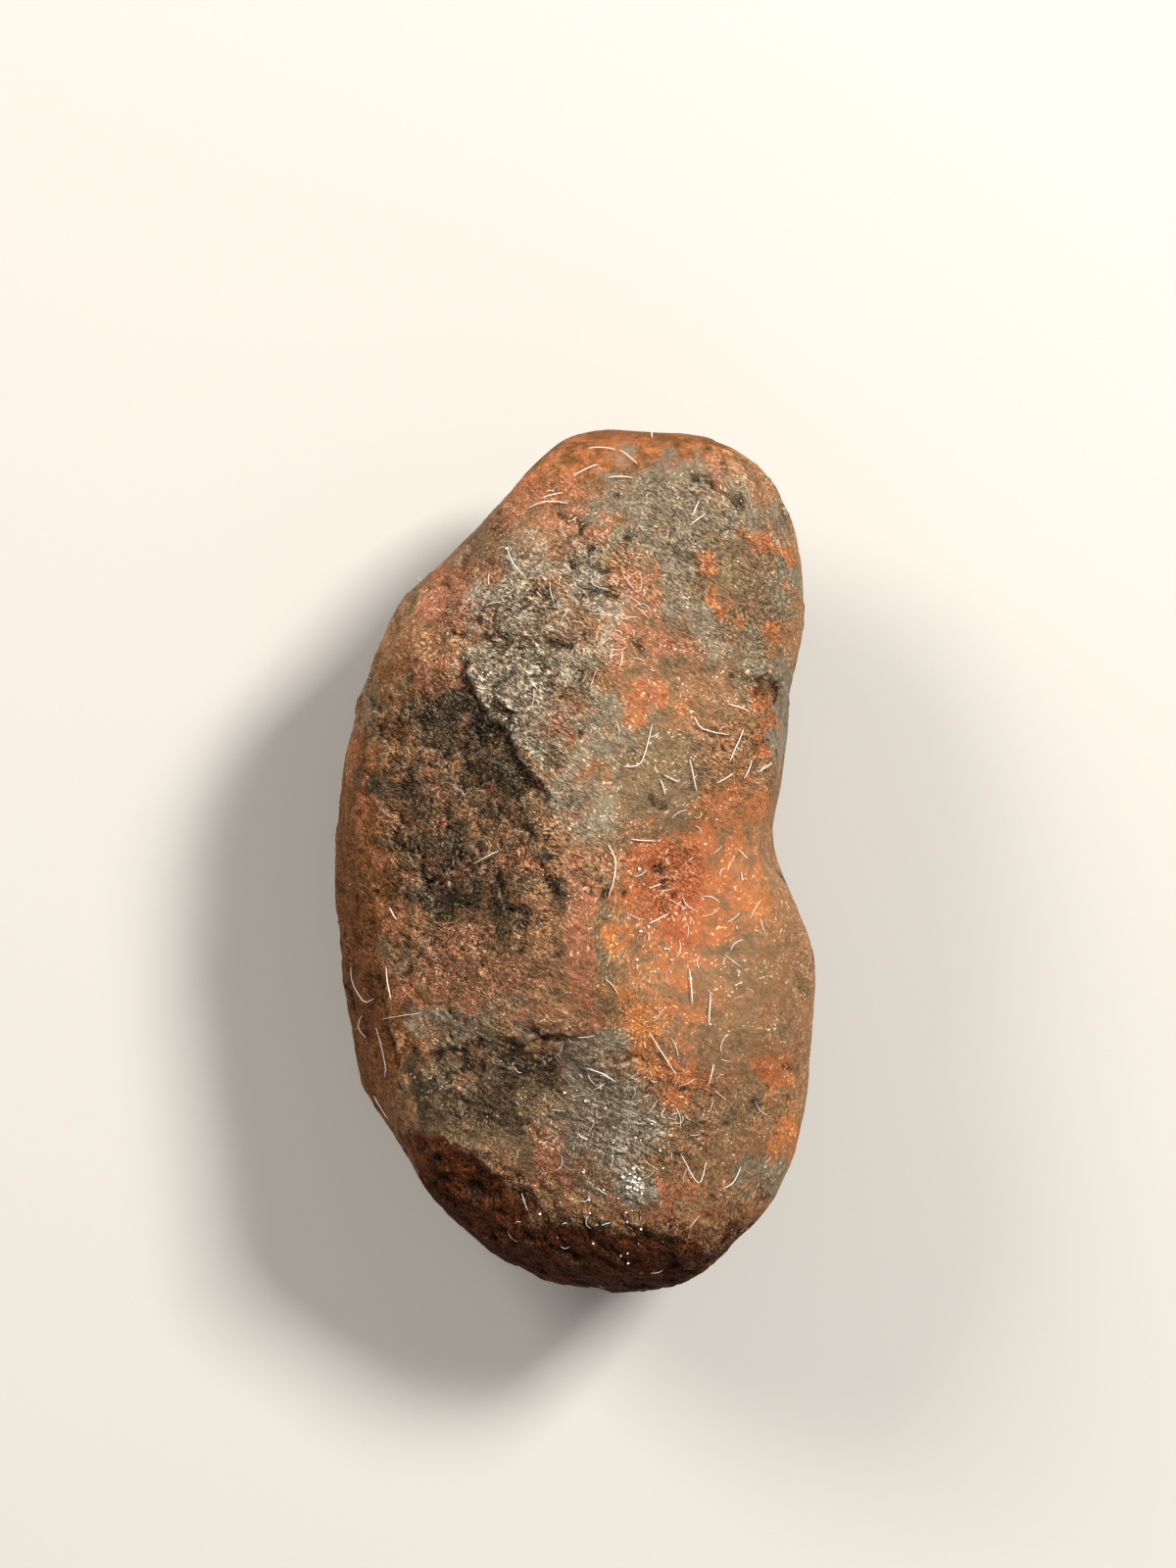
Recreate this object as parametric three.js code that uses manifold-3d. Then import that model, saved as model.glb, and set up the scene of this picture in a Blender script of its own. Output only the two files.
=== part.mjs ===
// A small iron meteorite: one solid, kidney-shaped lump of weathered nickel-iron, lying on its small flat spot.
// Millimetres. +Y runs along the length, +X across the width, +Z up through the weathered face that is seen.
// The origin is the middle of the plan outline, at the height of the surface that the meteorite rests on.

import * as THREE from "three";
import { ImprovedNoise } from "three/addons/math/ImprovedNoise.js";
import { mergeVertices } from "three/addons/utils/BufferGeometryUtils.js";
import Module from "manifold-3d";

// The three driving dimensions of the finished meteorite.
const LENGTH = 30.0;
const WIDTH = 16.7;
const THICKNESS = 12.2;

// The flat spot is cut this far below the heart, the point inside that every facet and hollow is measured from.
const HEART_ABOVE_FLAT = 5.9;

// 20 * (SKIN_DETAIL + 1)^2 triangles make the skin, spread evenly over an ellipsoid of the driving dimensions.
const SKIN_DETAIL = 20;

// How crisply neighbouring facets meet: the higher, the sharper the ridges between them.
const EDGE_CRISPNESS = 32;

// The plan outline, seen from above, as points along one closed smooth curve, clockwise from the top end.
const OUTLINE = [
  [1.2, 15.0],
  [3.6, 14.9],
  [5.4, 14.5],
  [6.8, 13.6],
  [7.5, 12.7],
  [7.9, 10.9],
  [8.1, 8.3],
  [7.9, 7.1],
  [7.6, 6.0],
  [7.5, 4.2],
  [7.1, 0.9],
  [7.4, -0.5],
  [7.9, -1.6],
  [8.3, -3.1],
  [8.4, -5.8],
  [7.9, -9.6],
  [7.4, -11.0],
  [6.7, -12.0],
  [5.9, -12.6],
  [4.9, -13.8],
  [4.0, -14.8],
  [2.7, -15.0],
  [1.4, -14.9],
  [0.3, -14.6],
  [-0.4, -14.7],
  [-1.5, -14.1],
  [-2.9, -13.5],
  [-4.3, -12.3],
  [-6.0, -9.7],
  [-6.8, -8.4],
  [-7.6, -7.4],
  [-8.1, -5.5],
  [-8.4, -2.2],
  [-8.3, 1.5],
  [-7.3, 5.9],
  [-6.0, 9.1],
  [-4.9, 10.1],
  [-3.8, 10.9],
  [-2.0, 12.9],
  [-0.8, 14.2],
  [0.0, 14.8],
];

// Facets, the broad faces that the lump weathered along. bearing is the compass direction in the plan that a facet
// faces, in degrees from +X towards +Y. rise is how far it looks up. reach is its distance from the heart.
const FACETS = [
  { name: "crest", bearing: -60, rise: 87, reach: 6.3 },
  { name: "left face", bearing: 184, rise: 57, reach: 5.3 },
  { name: "sheen face", bearing: 112, rise: 76, reach: 5.9 },
  { name: "right face", bearing: 6, rise: 68, reach: 6.2 },
  { name: "upper crest", bearing: 50, rise: 74, reach: 6.35 },
  { name: "top slope", bearing: 92, rise: 64, reach: 8.1 },
  { name: "top rim", bearing: 96, rise: 40, reach: 11.9 },
  { name: "upper left shoulder", bearing: 138, rise: 48, reach: 8.0 },
  { name: "upper right shoulder", bearing: 20, rise: 45, reach: 8.7 },
  { name: "right brow", bearing: 0, rise: 30, reach: 8.0 },
  { name: "left flank", bearing: 178, rise: 26, reach: 7.3 },
  { name: "lower left flank", bearing: 194, rise: 22, reach: 7.9 },
  { name: "lower left face", bearing: 240, rise: 66, reach: 6.7 },
  { name: "lower crest", bearing: -76, rise: 70, reach: 7.3 },
  { name: "lower right face", bearing: -28, rise: 52, reach: 8.5 },
  { name: "bottom left face", bearing: 232, rise: 34, reach: 10.5 },
  { name: "bottom face", bearing: 265, rise: 28, reach: 12.8 },
  { name: "underside", bearing: 0, rise: -90, reach: 6.2 },
  { name: "belly top", bearing: 78, rise: -72, reach: 7.0 },
  { name: "belly bottom", bearing: -96, rise: -71, reach: 7.1 },
  { name: "belly left", bearing: 186, rise: -66, reach: 6.5 },
  { name: "under left", bearing: 184, rise: -44, reach: 6.9 },
  { name: "under right", bearing: -4, rise: -46, reach: 6.7 },
  { name: "under top", bearing: 82, rise: -50, reach: 10.8 },
  { name: "under bottom", bearing: -92, rise: -48, reach: 11.0 },
  { name: "under top left", bearing: 134, rise: -46, reach: 8.4 },
  { name: "under top right", bearing: 46, rise: -42, reach: 10.6 },
  { name: "under bottom left", bearing: 224, rise: -44, reach: 9.2 },
  { name: "under bottom right", bearing: -50, rise: -42, reach: 10.4 },
];

// Hollows and knobs, measured from the heart. spread is the half-width of each along X, Y and Z, and sink is how
// deep the middle lies below the facets, negative for a knob that stands above them.
const HOLLOWS = [
  { name: "rust bowl", at: [4.0, -0.4, 4.2], spread: [2.3, 3.0, 3.0], sink: 0.95 },
  { name: "bowl tail", at: [3.0, -5.4, 4.4], spread: [1.5, 3.2, 2.4], sink: 0.35 },
  { name: "bowl outlet", at: [6.6, 0.7, 2.4], spread: [1.6, 1.7, 2.4], sink: 0.5 },
  { name: "ledge pocket", at: [7.0, 4.9, 2.0], spread: [0.9, 1.1, 1.6], sink: 0.45 },
  { name: "ridge foot above", at: [-3.7, 4.2, 3.8], spread: [1.1, 1.4, 1.8], sink: 0.5 },
  { name: "ridge foot below", at: [-2.8, 2.0, 4.4], spread: [1.0, 1.4, 1.8], sink: 0.5 },
  { name: "left face dish", at: [-4.6, -1.6, 3.4], spread: [1.5, 1.8, 2.0], sink: 0.2 },
  { name: "lower left dish", at: [-3.7, -7.8, 3.4], spread: [1.5, 1.5, 1.8], sink: 0.25 },
  { name: "sheen dish", at: [-1.0, 8.2, 4.2], spread: [1.1, 1.2, 1.5], sink: 0.25 },
  { name: "dark recess", at: [-2.4, -11.6, 2.6], spread: [1.6, 0.9, 1.4], sink: 0.45 },
  { name: "lower right swelling", at: [7.0, -4.6, 2.4], spread: [1.8, 2.6, 2.4], sink: -0.25 },
  { name: "bright knob", at: [2.4, -10.8, 3.6], spread: [0.8, 0.8, 1.0], sink: -0.3 },
  { name: "crest knob", at: [0.8, 9.8, 4.0], spread: [1.2, 0.8, 1.2], sink: -0.2 },
  { name: "under thumbprint", at: [-4.6, 5.2, -4.4], spread: [2.3, 2.8, 2.2], sink: 0.7 },
  { name: "under hollow", at: [4.4, -5.6, -4.6], spread: [2.2, 2.6, 2.0], sink: 0.6 },
  { name: "under groove", at: [4.2, 8.4, -3.6], spread: [1.4, 2.6, 1.8], sink: 0.5 },
  { name: "under dimple", at: [-3.4, -10.2, -3.0], spread: [1.8, 1.5, 1.8], sink: 0.45 },
];

// Lumpy weathering on top of the facets: layers of noise, each with its wavelength and its height.
const WEATHERING = [
  { wavelength: 5.2, height: 0.2 },
  { wavelength: 2.6, height: 0.16 },
  { wavelength: 1.5, height: 0.1 },
];

const noise = new ImprovedNoise();

// The unit vector that a facet faces.
function facing({ bearing, rise }) {
  const turn = THREE.MathUtils.degToRad(bearing);
  const lift = THREE.MathUtils.degToRad(rise);
  return new THREE.Vector3(Math.cos(turn) * Math.cos(lift), Math.sin(turn) * Math.cos(lift), Math.sin(lift));
}

const planes = FACETS.map((facet) => ({ normal: facing(facet), reach: facet.reach }));

// The outline curve in fine steps, as compass angle and distance from the middle, sorted by angle.
function outlineSteps() {
  const corners = OUTLINE.map(([x, y]) => new THREE.Vector3(x, y, 0));
  const curve = new THREE.CatmullRomCurve3(corners, true, "centripetal");
  const steps = curve.getPoints(12 * OUTLINE.length).map((point) => ({
    angle: Math.atan2(point.y, point.x),
    distance: Math.hypot(point.x, point.y),
  }));
  return steps.sort((first, second) => first.angle - second.angle);
}

const outline = outlineSteps();

// The outline's distance from the middle in the compass direction of (x, y).
function outlineDistance(x, y) {
  const angle = Math.atan2(y, x);
  const next = outline.findIndex((step) => step.angle >= angle);
  const after = outline[Math.max(next, 0)];
  const before = outline.at(next > 0 ? next - 1 : -1);
  const turn = 2 * Math.PI;
  const gap = (after.angle - before.angle + turn) % turn;
  const share = gap > 0 ? ((angle - before.angle + turn) % turn) / gap : 0;
  return THREE.MathUtils.lerp(before.distance, after.distance, share);
}

// How far the facets and the outline let the lump reach from its heart along a unit direction. The soft minimum
// of all of them rounds each ridge.
function facetedReach(direction) {
  const acrossPlan = Math.hypot(direction.x, direction.y);
  const wall = acrossPlan / outlineDistance(direction.x, direction.y);
  const closeness = planes.reduce((sum, { normal, reach }) => {
    const towards = Math.max(normal.dot(direction), 0) / reach;
    return sum + towards ** EDGE_CRISPNESS;
  }, wall ** EDGE_CRISPNESS);
  return closeness ** (-1 / EDGE_CRISPNESS);
}

// How deep the hollows lie at a point of the faceted surface.
function hollowDepth(point) {
  return HOLLOWS.reduce((depth, { at, spread, sink }) => {
    const off = point.toArray().map((value, axis) => (value - at[axis]) / spread[axis]);
    return depth + sink * Math.exp(-(off[0] ** 2 + off[1] ** 2 + off[2] ** 2));
  }, 0);
}

// How high the weathering stands at a point of the faceted surface.
function weatheredHeight(point) {
  return WEATHERING.reduce((height, layer, index) => {
    const at = point.clone().divideScalar(layer.wavelength).addScalar(7.3 * index);
    return height + layer.height * noise.noise(at.x, at.y, at.z);
  }, 0);
}

// The point of the meteorite's skin in a direction from the heart.
function skinPoint(direction) {
  const faceted = direction.clone().multiplyScalar(facetedReach(direction));
  const reach = faceted.length() - hollowDepth(faceted) + weatheredHeight(faceted);
  return direction.clone().multiplyScalar(reach);
}

// The closed skin around the heart, before the flat spot is cut.
function skinGeometry() {
  const sphere = new THREE.IcosahedronGeometry(1, SKIN_DETAIL);
  sphere.deleteAttribute("normal");
  sphere.deleteAttribute("uv");
  const skin = mergeVertices(sphere, 1e-5);
  const position = skin.getAttribute("position");
  const direction = new THREE.Vector3();
  for (let i = 0; i < position.count; i += 1) {
    direction.fromBufferAttribute(position, i);
    direction.multiply(new THREE.Vector3(WIDTH, LENGTH, THICKNESS)).normalize();
    const point = skinPoint(direction);
    position.setXYZ(i, point.x, point.y, point.z);
  }
  return skin;
}

// A closed three.js geometry as a manifold-3d solid.
function solidFrom(wasm, geometry) {
  const merged = mergeVertices(geometry, 1e-5);
  return new wasm.Manifold(
    new wasm.Mesh({
      numProp: 3,
      vertProperties: new Float32Array(merged.getAttribute("position").array),
      triVerts: new Uint32Array(merged.index.array),
    }),
  );
}

// A manifold-3d solid as a three.js geometry.
function geometryFrom(solid) {
  const { vertProperties, triVerts } = solid.getMesh();
  const geometry = new THREE.BufferGeometry();
  geometry.setAttribute("position", new THREE.BufferAttribute(new Float32Array(vertProperties), 3));
  geometry.setIndex(new THREE.BufferAttribute(new Uint32Array(triVerts), 1));
  return geometry;
}

// The block that is cut away to leave the flat spot, its top face just under the heart by HEART_ABOVE_FLAT.
function flatSpotCutter() {
  const block = new THREE.BoxGeometry(2 * WIDTH, 2 * LENGTH, THICKNESS);
  block.deleteAttribute("normal");
  block.deleteAttribute("uv");
  block.translate(0, 0, -HEART_ABOVE_FLAT - THICKNESS / 2);
  return block;
}

// Brings a geometry to the three driving dimensions, centred in the plan and standing on z = 0.
function fitToSize(geometry) {
  geometry.computeBoundingBox();
  const size = geometry.boundingBox.getSize(new THREE.Vector3());
  const middle = geometry.boundingBox.getCenter(new THREE.Vector3());
  geometry.translate(-middle.x, -middle.y, -geometry.boundingBox.min.z);
  geometry.scale(WIDTH / size.x, LENGTH / size.y, THICKNESS / size.z);
  return geometry;
}

const wasm = await Module();
wasm.setup();

function makeMeteorite() {
  const lump = solidFrom(wasm, skinGeometry());
  const rested = lump.subtract(solidFrom(wasm, flatSpotCutter()));
  const geometry = fitToSize(geometryFrom(rested));
  geometry.computeVertexNormals();
  const crust = new THREE.MeshStandardMaterial({ color: 0x6b4a3a, roughness: 0.62, metalness: 0.35 });
  const mesh = new THREE.Mesh(geometry, crust);
  mesh.name = "meteorite";
  return mesh;
}

const group = new THREE.Group();
group.name = "iron_meteorite";
group.add(makeMeteorite());

export default group;
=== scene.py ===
"""A small weathered iron meteorite with lint caught on its crust, lying on a pale floor.

Shapes are worked out in millimetres in the part's own frame: +X across the width, +Y along the length and
+Z up. They become metres when a mesh is written.
"""

import logging
import math
import random
from dataclasses import dataclass, field
from enum import Enum

import bpy
import numpy as np
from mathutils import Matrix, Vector, noise
from mathutils.bvhtree import BVHTree
from mathutils.kdtree import KDTree


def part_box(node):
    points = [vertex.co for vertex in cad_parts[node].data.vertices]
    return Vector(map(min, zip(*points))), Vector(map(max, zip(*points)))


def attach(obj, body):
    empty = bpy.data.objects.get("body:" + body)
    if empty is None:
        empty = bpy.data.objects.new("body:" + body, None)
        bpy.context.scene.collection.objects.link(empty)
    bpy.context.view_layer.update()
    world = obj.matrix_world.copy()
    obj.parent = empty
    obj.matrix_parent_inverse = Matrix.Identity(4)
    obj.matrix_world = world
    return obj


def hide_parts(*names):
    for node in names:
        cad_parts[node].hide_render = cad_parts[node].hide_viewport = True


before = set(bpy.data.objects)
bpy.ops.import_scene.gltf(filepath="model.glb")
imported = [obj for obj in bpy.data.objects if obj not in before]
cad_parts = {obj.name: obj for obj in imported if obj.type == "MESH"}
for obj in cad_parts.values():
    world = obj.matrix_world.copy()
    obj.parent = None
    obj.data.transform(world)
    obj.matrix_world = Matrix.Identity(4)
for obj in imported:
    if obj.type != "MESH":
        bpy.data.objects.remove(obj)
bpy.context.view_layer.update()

MM = 0.001
CAD_NODE = "meteorite"

# Each finer layer of noise is weaker by this power of its size, and folds are divided by their usual height.
LAYER_FADE = 0.9
HIGHEST_FOLD = 2.4

Socket = bpy.types.NodeSocket
Route = tuple[tuple[float, float], ...]

log = logging.getLogger("meteorite")


class Stain(Enum):
    """What the iron of the crust has weathered into; two stains also carry painted sheen and painted shade.
    """

    HEMATITE = "hematite"
    RUST = "rust"
    GLOW = "glow"
    STEEL = "steel"
    SILVER_SHEEN = "silver_sheen"
    OLIVE = "olive"
    MAGNETITE = "magnetite"
    SLATE = "slate"
    SCARLET = "scarlet"
    BROWN = "brown"
    UMBER_AND_SHADE = "umber_and_shade"


@dataclass(frozen=True)
class Tone:
    """A colour of the crust as it shows in white light, in steps of 0 to 255."""

    red: int
    green: int
    blue: int

    def linear(self) -> tuple[float, float, float, float]:
        """Work out the colour as the renderer reads it.

        Returns:
            Linear red, green and blue, and an alpha of 1.
        """
        shares = (step / 255 for step in (self.red, self.green, self.blue))
        channels = [v / 12.92 if v <= 0.04045 else ((v + 0.055) / 1.055) ** 2.4 for v in shares]
        return (*channels, 1.0)


Feeds = dict[str | int, Socket | Tone | float | tuple[float, ...]]


@dataclass(frozen=True)
class StainFinish:
    """How one stain looks, and how raggedly its patches end."""

    stain: Stain
    tone: Tone
    second_tone: Tone
    roughness: float
    metallic: float
    ragged: float


@dataclass(frozen=True)
class Patch:
    """An oval patch of a stain, seen from above."""

    x: float
    y: float
    half_width: float
    half_height: float
    turn: float = 0.0
    strength: float = 1.0
    soft: float = 0.55


@dataclass(frozen=True)
class Zone:
    """An oval zone of the upper face where the crust is rougher or smoother than elsewhere."""

    x: float
    y: float
    half_width: float
    half_height: float
    turn: float
    roughness: float
    soft: float = 0.5


@dataclass(frozen=True)
class Crest:
    """A sharp edge along a path, with lower ground beside it that rises back to the crust further off.

    The path is followed from first to last point. The lower ground lies on its right-hand side, where the
    dark share paints shadow.
    """

    path: Route
    lift: float
    drop: float
    width: float
    reach: float
    jag: float = 0.2
    dark: float = 0.0


@dataclass(frozen=True)
class Crack:
    """A narrow crack along a path, with painted shade in it."""

    path: Route
    width: float
    depth: float


@dataclass(frozen=True)
class Pit:
    """A small round pit."""

    x: float
    y: float
    radius: float
    depth: float


@dataclass(frozen=True)
class Chips:
    """Little slanting chips that the crust breaks into, each up to a step higher than the next, with gaps."""

    size: float
    slope: float
    step: float
    gap: float
    seed: float


@dataclass(frozen=True)
class Wrinkles:
    """Sharp little wrinkles in the crust, and how high they rise."""

    size: float
    rise: float
    seed: float


# Rows of a patch: x, y, half width, half height, turn, strength and softness of its border.
PATCHES = {
    Stain.BROWN: (
        # The first three rows darken and warm the left flank, partly as painted shade and warm reflected
        # light.
        Patch(-7.4, -2.6, 1.6, 8.4, 5, 1.2, 0.7),
        Patch(-6.6, -8.0, 1.2, 4.0, 18, 1.0, 0.4),
        Patch(-7.0, 5.5, 1.4, 4.0, -20, 0.6, 0.8),
        Patch(1.2, 14.6, 4.0, 1.3, 0, 1.3, 0.9),
    ),
    Stain.OLIVE: (
        Patch(-3.6, 1.2, 2.4, 3.6, 8, 0.45, 0.8),
        Patch(-2.8, 11.0, 0.9, 0.9, 0, 0.8),
        Patch(-4.9, 9.2, 1.5, 0.8, 40, 0.8, 0.7),
        Patch(-6.7, 5.6, 0.8, 2.0, -12, 0.7, 0.7),
        Patch(2.9, 2.2, 1.6, 2.0, 0, 1.3),
        Patch(6.8, 3.4, 0.8, 1.2, 0, 0.8),
        Patch(5.8, -4.8, 2.4, 4.2, 0, 0.45, 0.8),
        Patch(4.6, -9.2, 2.6, 2.6, 0, 0.45, 0.8),
        Patch(5.0, 8.8, 2.6, 3.0, 0, 1.1, 0.7),
        Patch(5.9, 6.6, 1.8, 1.2, 0, 0.8, 0.6),
        Patch(0.95, -2.6, 0.3, 2.2, 4, 1.3),
        Patch(1.2, -13.4, 3.4, 0.7, 0, 0.6),
    ),
    Stain.RUST: (
        Patch(1.5, 14.2, 3.6, 0.9, 0, 0.5, 0.8),
        Patch(-0.5, 13.1, 2.0, 0.8, 15, 0.75),
        Patch(6.2, 11.2, 0.8, 0.45, -25, 0.9),
        Patch(4.7, 10.3, 0.45, 0.8, 10, 0.8),
        Patch(5.2, 8.8, 0.4, 0.3, 0, 0.8),
        Patch(6.6, 8.0, 0.8, 0.5, -20, 0.85),
        Patch(2.2, 5.4, 1.6, 1.0, 10, 0.45),
        Patch(6.7, 5.0, 0.5, 1.0, 0, 0.95),
        Patch(5.4, 1.9, 1.9, 1.1, 20, 0.75),
        Patch(4.1, -0.6, 2.2, 2.4, 0, 0.8, 0.8),
        Patch(3.4, -4.4, 1.5, 2.4, 0, 0.4, 0.8),
        Patch(6.8, -7.0, 0.5, 0.6),
        Patch(3.7, -7.3, 1.2, 0.8, 0, 0.7),
        Patch(3.4, -11.3, 0.8, 0.5, 0, 0.75),
        Patch(-4.6, 9.8, 0.4, 0.4, 0, 0.8),
        Patch(-7.3, 3.0, 0.5, 1.4, 0, 0.6),
        Patch(-3.9, -10.7, 0.6, 0.4, -30, 0.8),
    ),
    Stain.GLOW: (
        Patch(7.3, 10.4, 0.35, 0.5, 0, 0.95),
        Patch(6.1, -0.9, 0.6, 0.9, 0, 0.55),
        Patch(1.4, -2.9, 0.28, 1.2, 8, 1.1),
        Patch(2.4, -5.8, 0.45, 1.1, 10, 0.9),
        Patch(7.4, -9.5, 0.6, 0.8, 0, 0.7),
        Patch(6.8, 4.3, 0.3, 0.5, 0, 0.7),
    ),
    Stain.HEMATITE: (
        Patch(-4.3, 6.2, 0.8, 0.75, 0, 1.4, 0.4),
        Patch(-3.2, 4.6, 0.35, 0.3),
        Patch(-3.7, 9.0, 1.6, 1.2, 20, 0.9),
        Patch(-0.4, 11.8, 1.8, 1.4, 0, 0.5),
        Patch(2.6, 8.4, 1.3, 2.1, 10, 0.6, 0.8),
        Patch(4.5, 13.3, 0.6, 0.35, 0, 0.8),
        Patch(0.2, -1.4, 0.5, 1.7, 0, 1.35),
        Patch(0.2, -3.6, 0.5, 1.6, 0, 1.0),
        Patch(-2.2, 0.1, 0.8, 0.45, 0, 0.9),
        Patch(-3.5, -1.9, 0.5, 0.5, 0, 0.8),
        Patch(-6.5, 1.7, 0.5, 0.5, 0, 0.8),
        Patch(-4.1, -0.8, 2.2, 5.2, 6, 0.5, 0.8),
        Patch(-3.6, -4.0, 2.6, 1.2, -8, 0.6),
        Patch(-4.5, -7.1, 0.7, 0.5, 0, 0.85),
        Patch(0.1, -6.9, 0.35, 0.6, 0, 0.9),
        Patch(0.5, -4.8, 0.35, 0.7, 0, 0.9),
        Patch(-0.6, -10.2, 0.9, 1.1, 10, 0.8),
        Patch(-4.6, -7.0, 0.8, 0.5, 0, 0.9),
        Patch(2.6, -11.6, 1.4, 0.6, 0, 0.6),
        Patch(-0.2, 4.7, 0.9, 0.7, 0, 1.1),
        Patch(-1.2, 6.0, 0.5, 0.35, 0, 0.9),
    ),
    Stain.SCARLET: (
        Patch(-0.45, 3.85, 0.3, 0.25, 0, 0.8),
        Patch(3.3, -0.9, 1.3, 2.0, 10, 0.9, 0.8),
        Patch(6.6, 4.9, 0.45, 1.0, 0, 0.3),
        Patch(6.7, -7.0, 0.4, 0.4, 0, 0.6),
        Patch(2.6, 5.6, 0.9, 0.5, 10, 0.4),
    ),
    Stain.SLATE: (
        Patch(2.9, 3.1, 1.2, 1.7, 0, 1.3),
        Patch(-3.2, -8.2, 2.7, 2.1, 0, 1.0, 0.45),
        Patch(-4.0, -6.2, 1.2, 0.5, 0, 0.7),
        Patch(-2.4, -5.2, 0.6, 1.1, -35, 0.8),
        Patch(-4.3, -1.0, 1.0, 0.8, 0, 0.7),
        Patch(-5.6, -3.4, 1.0, 0.6, -20, 0.7),
    ),
    Stain.STEEL: (
        Patch(2.9, 12.2, 2.1, 1.8, 0, 1.1),
        Patch(5.0, 12.0, 1.3, 1.0, 0, 0.8),
        Patch(3.5, 9.7, 0.6, 1.3, 10, 0.95),
        Patch(4.4, 8.2, 0.45, 1.0, 40, 0.85),
        Patch(5.6, 7.4, 0.7, 0.45, 0, 0.8),
        Patch(7.1, 9.4, 0.6, 0.9, 0, 0.85),
        Patch(6.9, 11.8, 0.6, 0.7, 0, 0.7),
        Patch(1.0, 4.3, 0.6, 1.4, 0, 0.9),
        Patch(-0.4, 5.2, 1.9, 3.0, 15, 0.6, 0.7),
        Patch(0.2, 2.3, 1.1, 2.0, 20, 0.75),
        Patch(-4.2, -5.6, 1.8, 0.5, -8, 0.85, 0.5),
        Patch(0.9, -8.6, 1.7, 2.6, 8, 0.8),
        Patch(0.6, -6.4, 0.8, 0.5, 0, 0.8),
        Patch(6.4, -10.7, 0.9, 0.7, 0, 0.8),
        Patch(7.15, 5.0, 0.36, 1.7, 3, 1.6, 0.3),
        Patch(6.6, 6.6, 0.7, 0.2, -8, 1.3),
    ),
    Stain.SILVER_SHEEN: (
        # Bare metal in part, and in part painted sheen and highlights on faces and knobs that face the light.
        Patch(-1.9, 8.8, 1.4, 1.0, -20, 0.8, 0.8),
        Patch(-1.9, 6.7, 1.5, 1.8, -20, 0.9, 0.9),
        Patch(0.6, 9.3, 0.9, 1.5, 10, 0.75, 0.9),
        Patch(-1.5, 3.9, 0.28, 1.0, 32, 1.1),
        Patch(-1.7, 10.5, 0.8, 0.8, 0, 0.6, 0.9),
        Patch(-3.1, 6.5, 0.35, 0.8, 10, 1.4),
        Patch(-2.3, 5.0, 0.3, 1.1, 36, 1.4),
        Patch(2.1, -11.0, 0.5, 0.6, 0, 1.1),
        Patch(2.7, -8.9, 0.25, 0.35, 20, 1.1),
        Patch(1.2, -9.0, 1.2, 2.0, 5, 0.55, 0.7),
    ),
    Stain.MAGNETITE: (
        # The first two rows follow the foot of the sharp ridge; their black is partly magnetite and partly
        # painted shadow.
        Patch(-2.45, 3.9, 0.7, 1.9, 34, 1.25, 0.4),
        Patch(-2.2, 2.55, 0.6, 0.35, -10, 1.3, 0.4),
        Patch(-4.5, 5.1, 0.9, 0.6, 0, 1.0),
        Patch(-3.7, 3.5, 1.4, 1.6, 0, 0.75),
        Patch(-4.4, 1.0, 1.8, 1.4, -15, 0.5),
        Patch(-3.0, 2.0, 1.3, 1.2, 0, 0.5),
        Patch(-6.5, 2.6, 0.7, 0.4, -20, 0.8, 0.8),
        Patch(-1.2, 0.5, 0.35, 1.2, 24, 0.75),
        Patch(-4.5, -1.0, 1.2, 0.7, -15, 0.8),
        Patch(-2.0, -1.3, 1.4, 1.3, 0, 0.5),
        Patch(-1.5, -6.9, 1.3, 1.2, 0, 0.65),
        Patch(-3.3, -6.9, 0.4, 0.4, 0, 0.9),
        Patch(-5.4, -7.8, 0.5, 1.6, 8, 0.9),
        Patch(-3.2, -8.4, 2.2, 1.3, 0, 0.5, 0.7),
        Patch(-1.2, 8.9, 0.8, 0.6, 0, 0.6),
        Patch(-1.2, 7.4, 1.0, 0.9, -20, 0.5),
        # This row blackens the low face that turns down at the lower left, partly as painted shade.
        Patch(-2.6, -12.2, 1.9, 0.8, -38, 0.85),
        Patch(0.8, -12.7, 2.4, 0.4, 0, 0.5),
    ),
    Stain.UMBER_AND_SHADE: (
        # Darkest brown, laid thickest on the faces that turn down at the lower end and below the right ledge,
        # where it is partly painted shade.
        Patch(-7.8, -4.0, 1.0, 6.5, 6, 0.5, 0.9),
        Patch(2.5, 15.2, 3.5, 0.6, 0, 0.4, 0.9),
        Patch(4.6, -12.8, 2.4, 0.9, 30, 0.6, 0.7),
        Patch(-3.4, -11.9, 3.3, 1.5, -38, 1.5, 0.4),
        Patch(1.0, -14.1, 4.3, 1.7, 0, 1.3, 0.45),
        Patch(-3.1, 10.9, 1.2, 1.4, -35, 0.35, 0.7),
        Patch(6.7, 5.95, 0.5, 0.25, 0, 0.7),
        Patch(5.4, 8.6, 2.2, 2.2, 0, 0.16, 0.8),
    ),
}

SIDE_STAINS = (Stain.HEMATITE, Stain.RUST, Stain.STEEL, Stain.MAGNETITE, Stain.BROWN)

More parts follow.
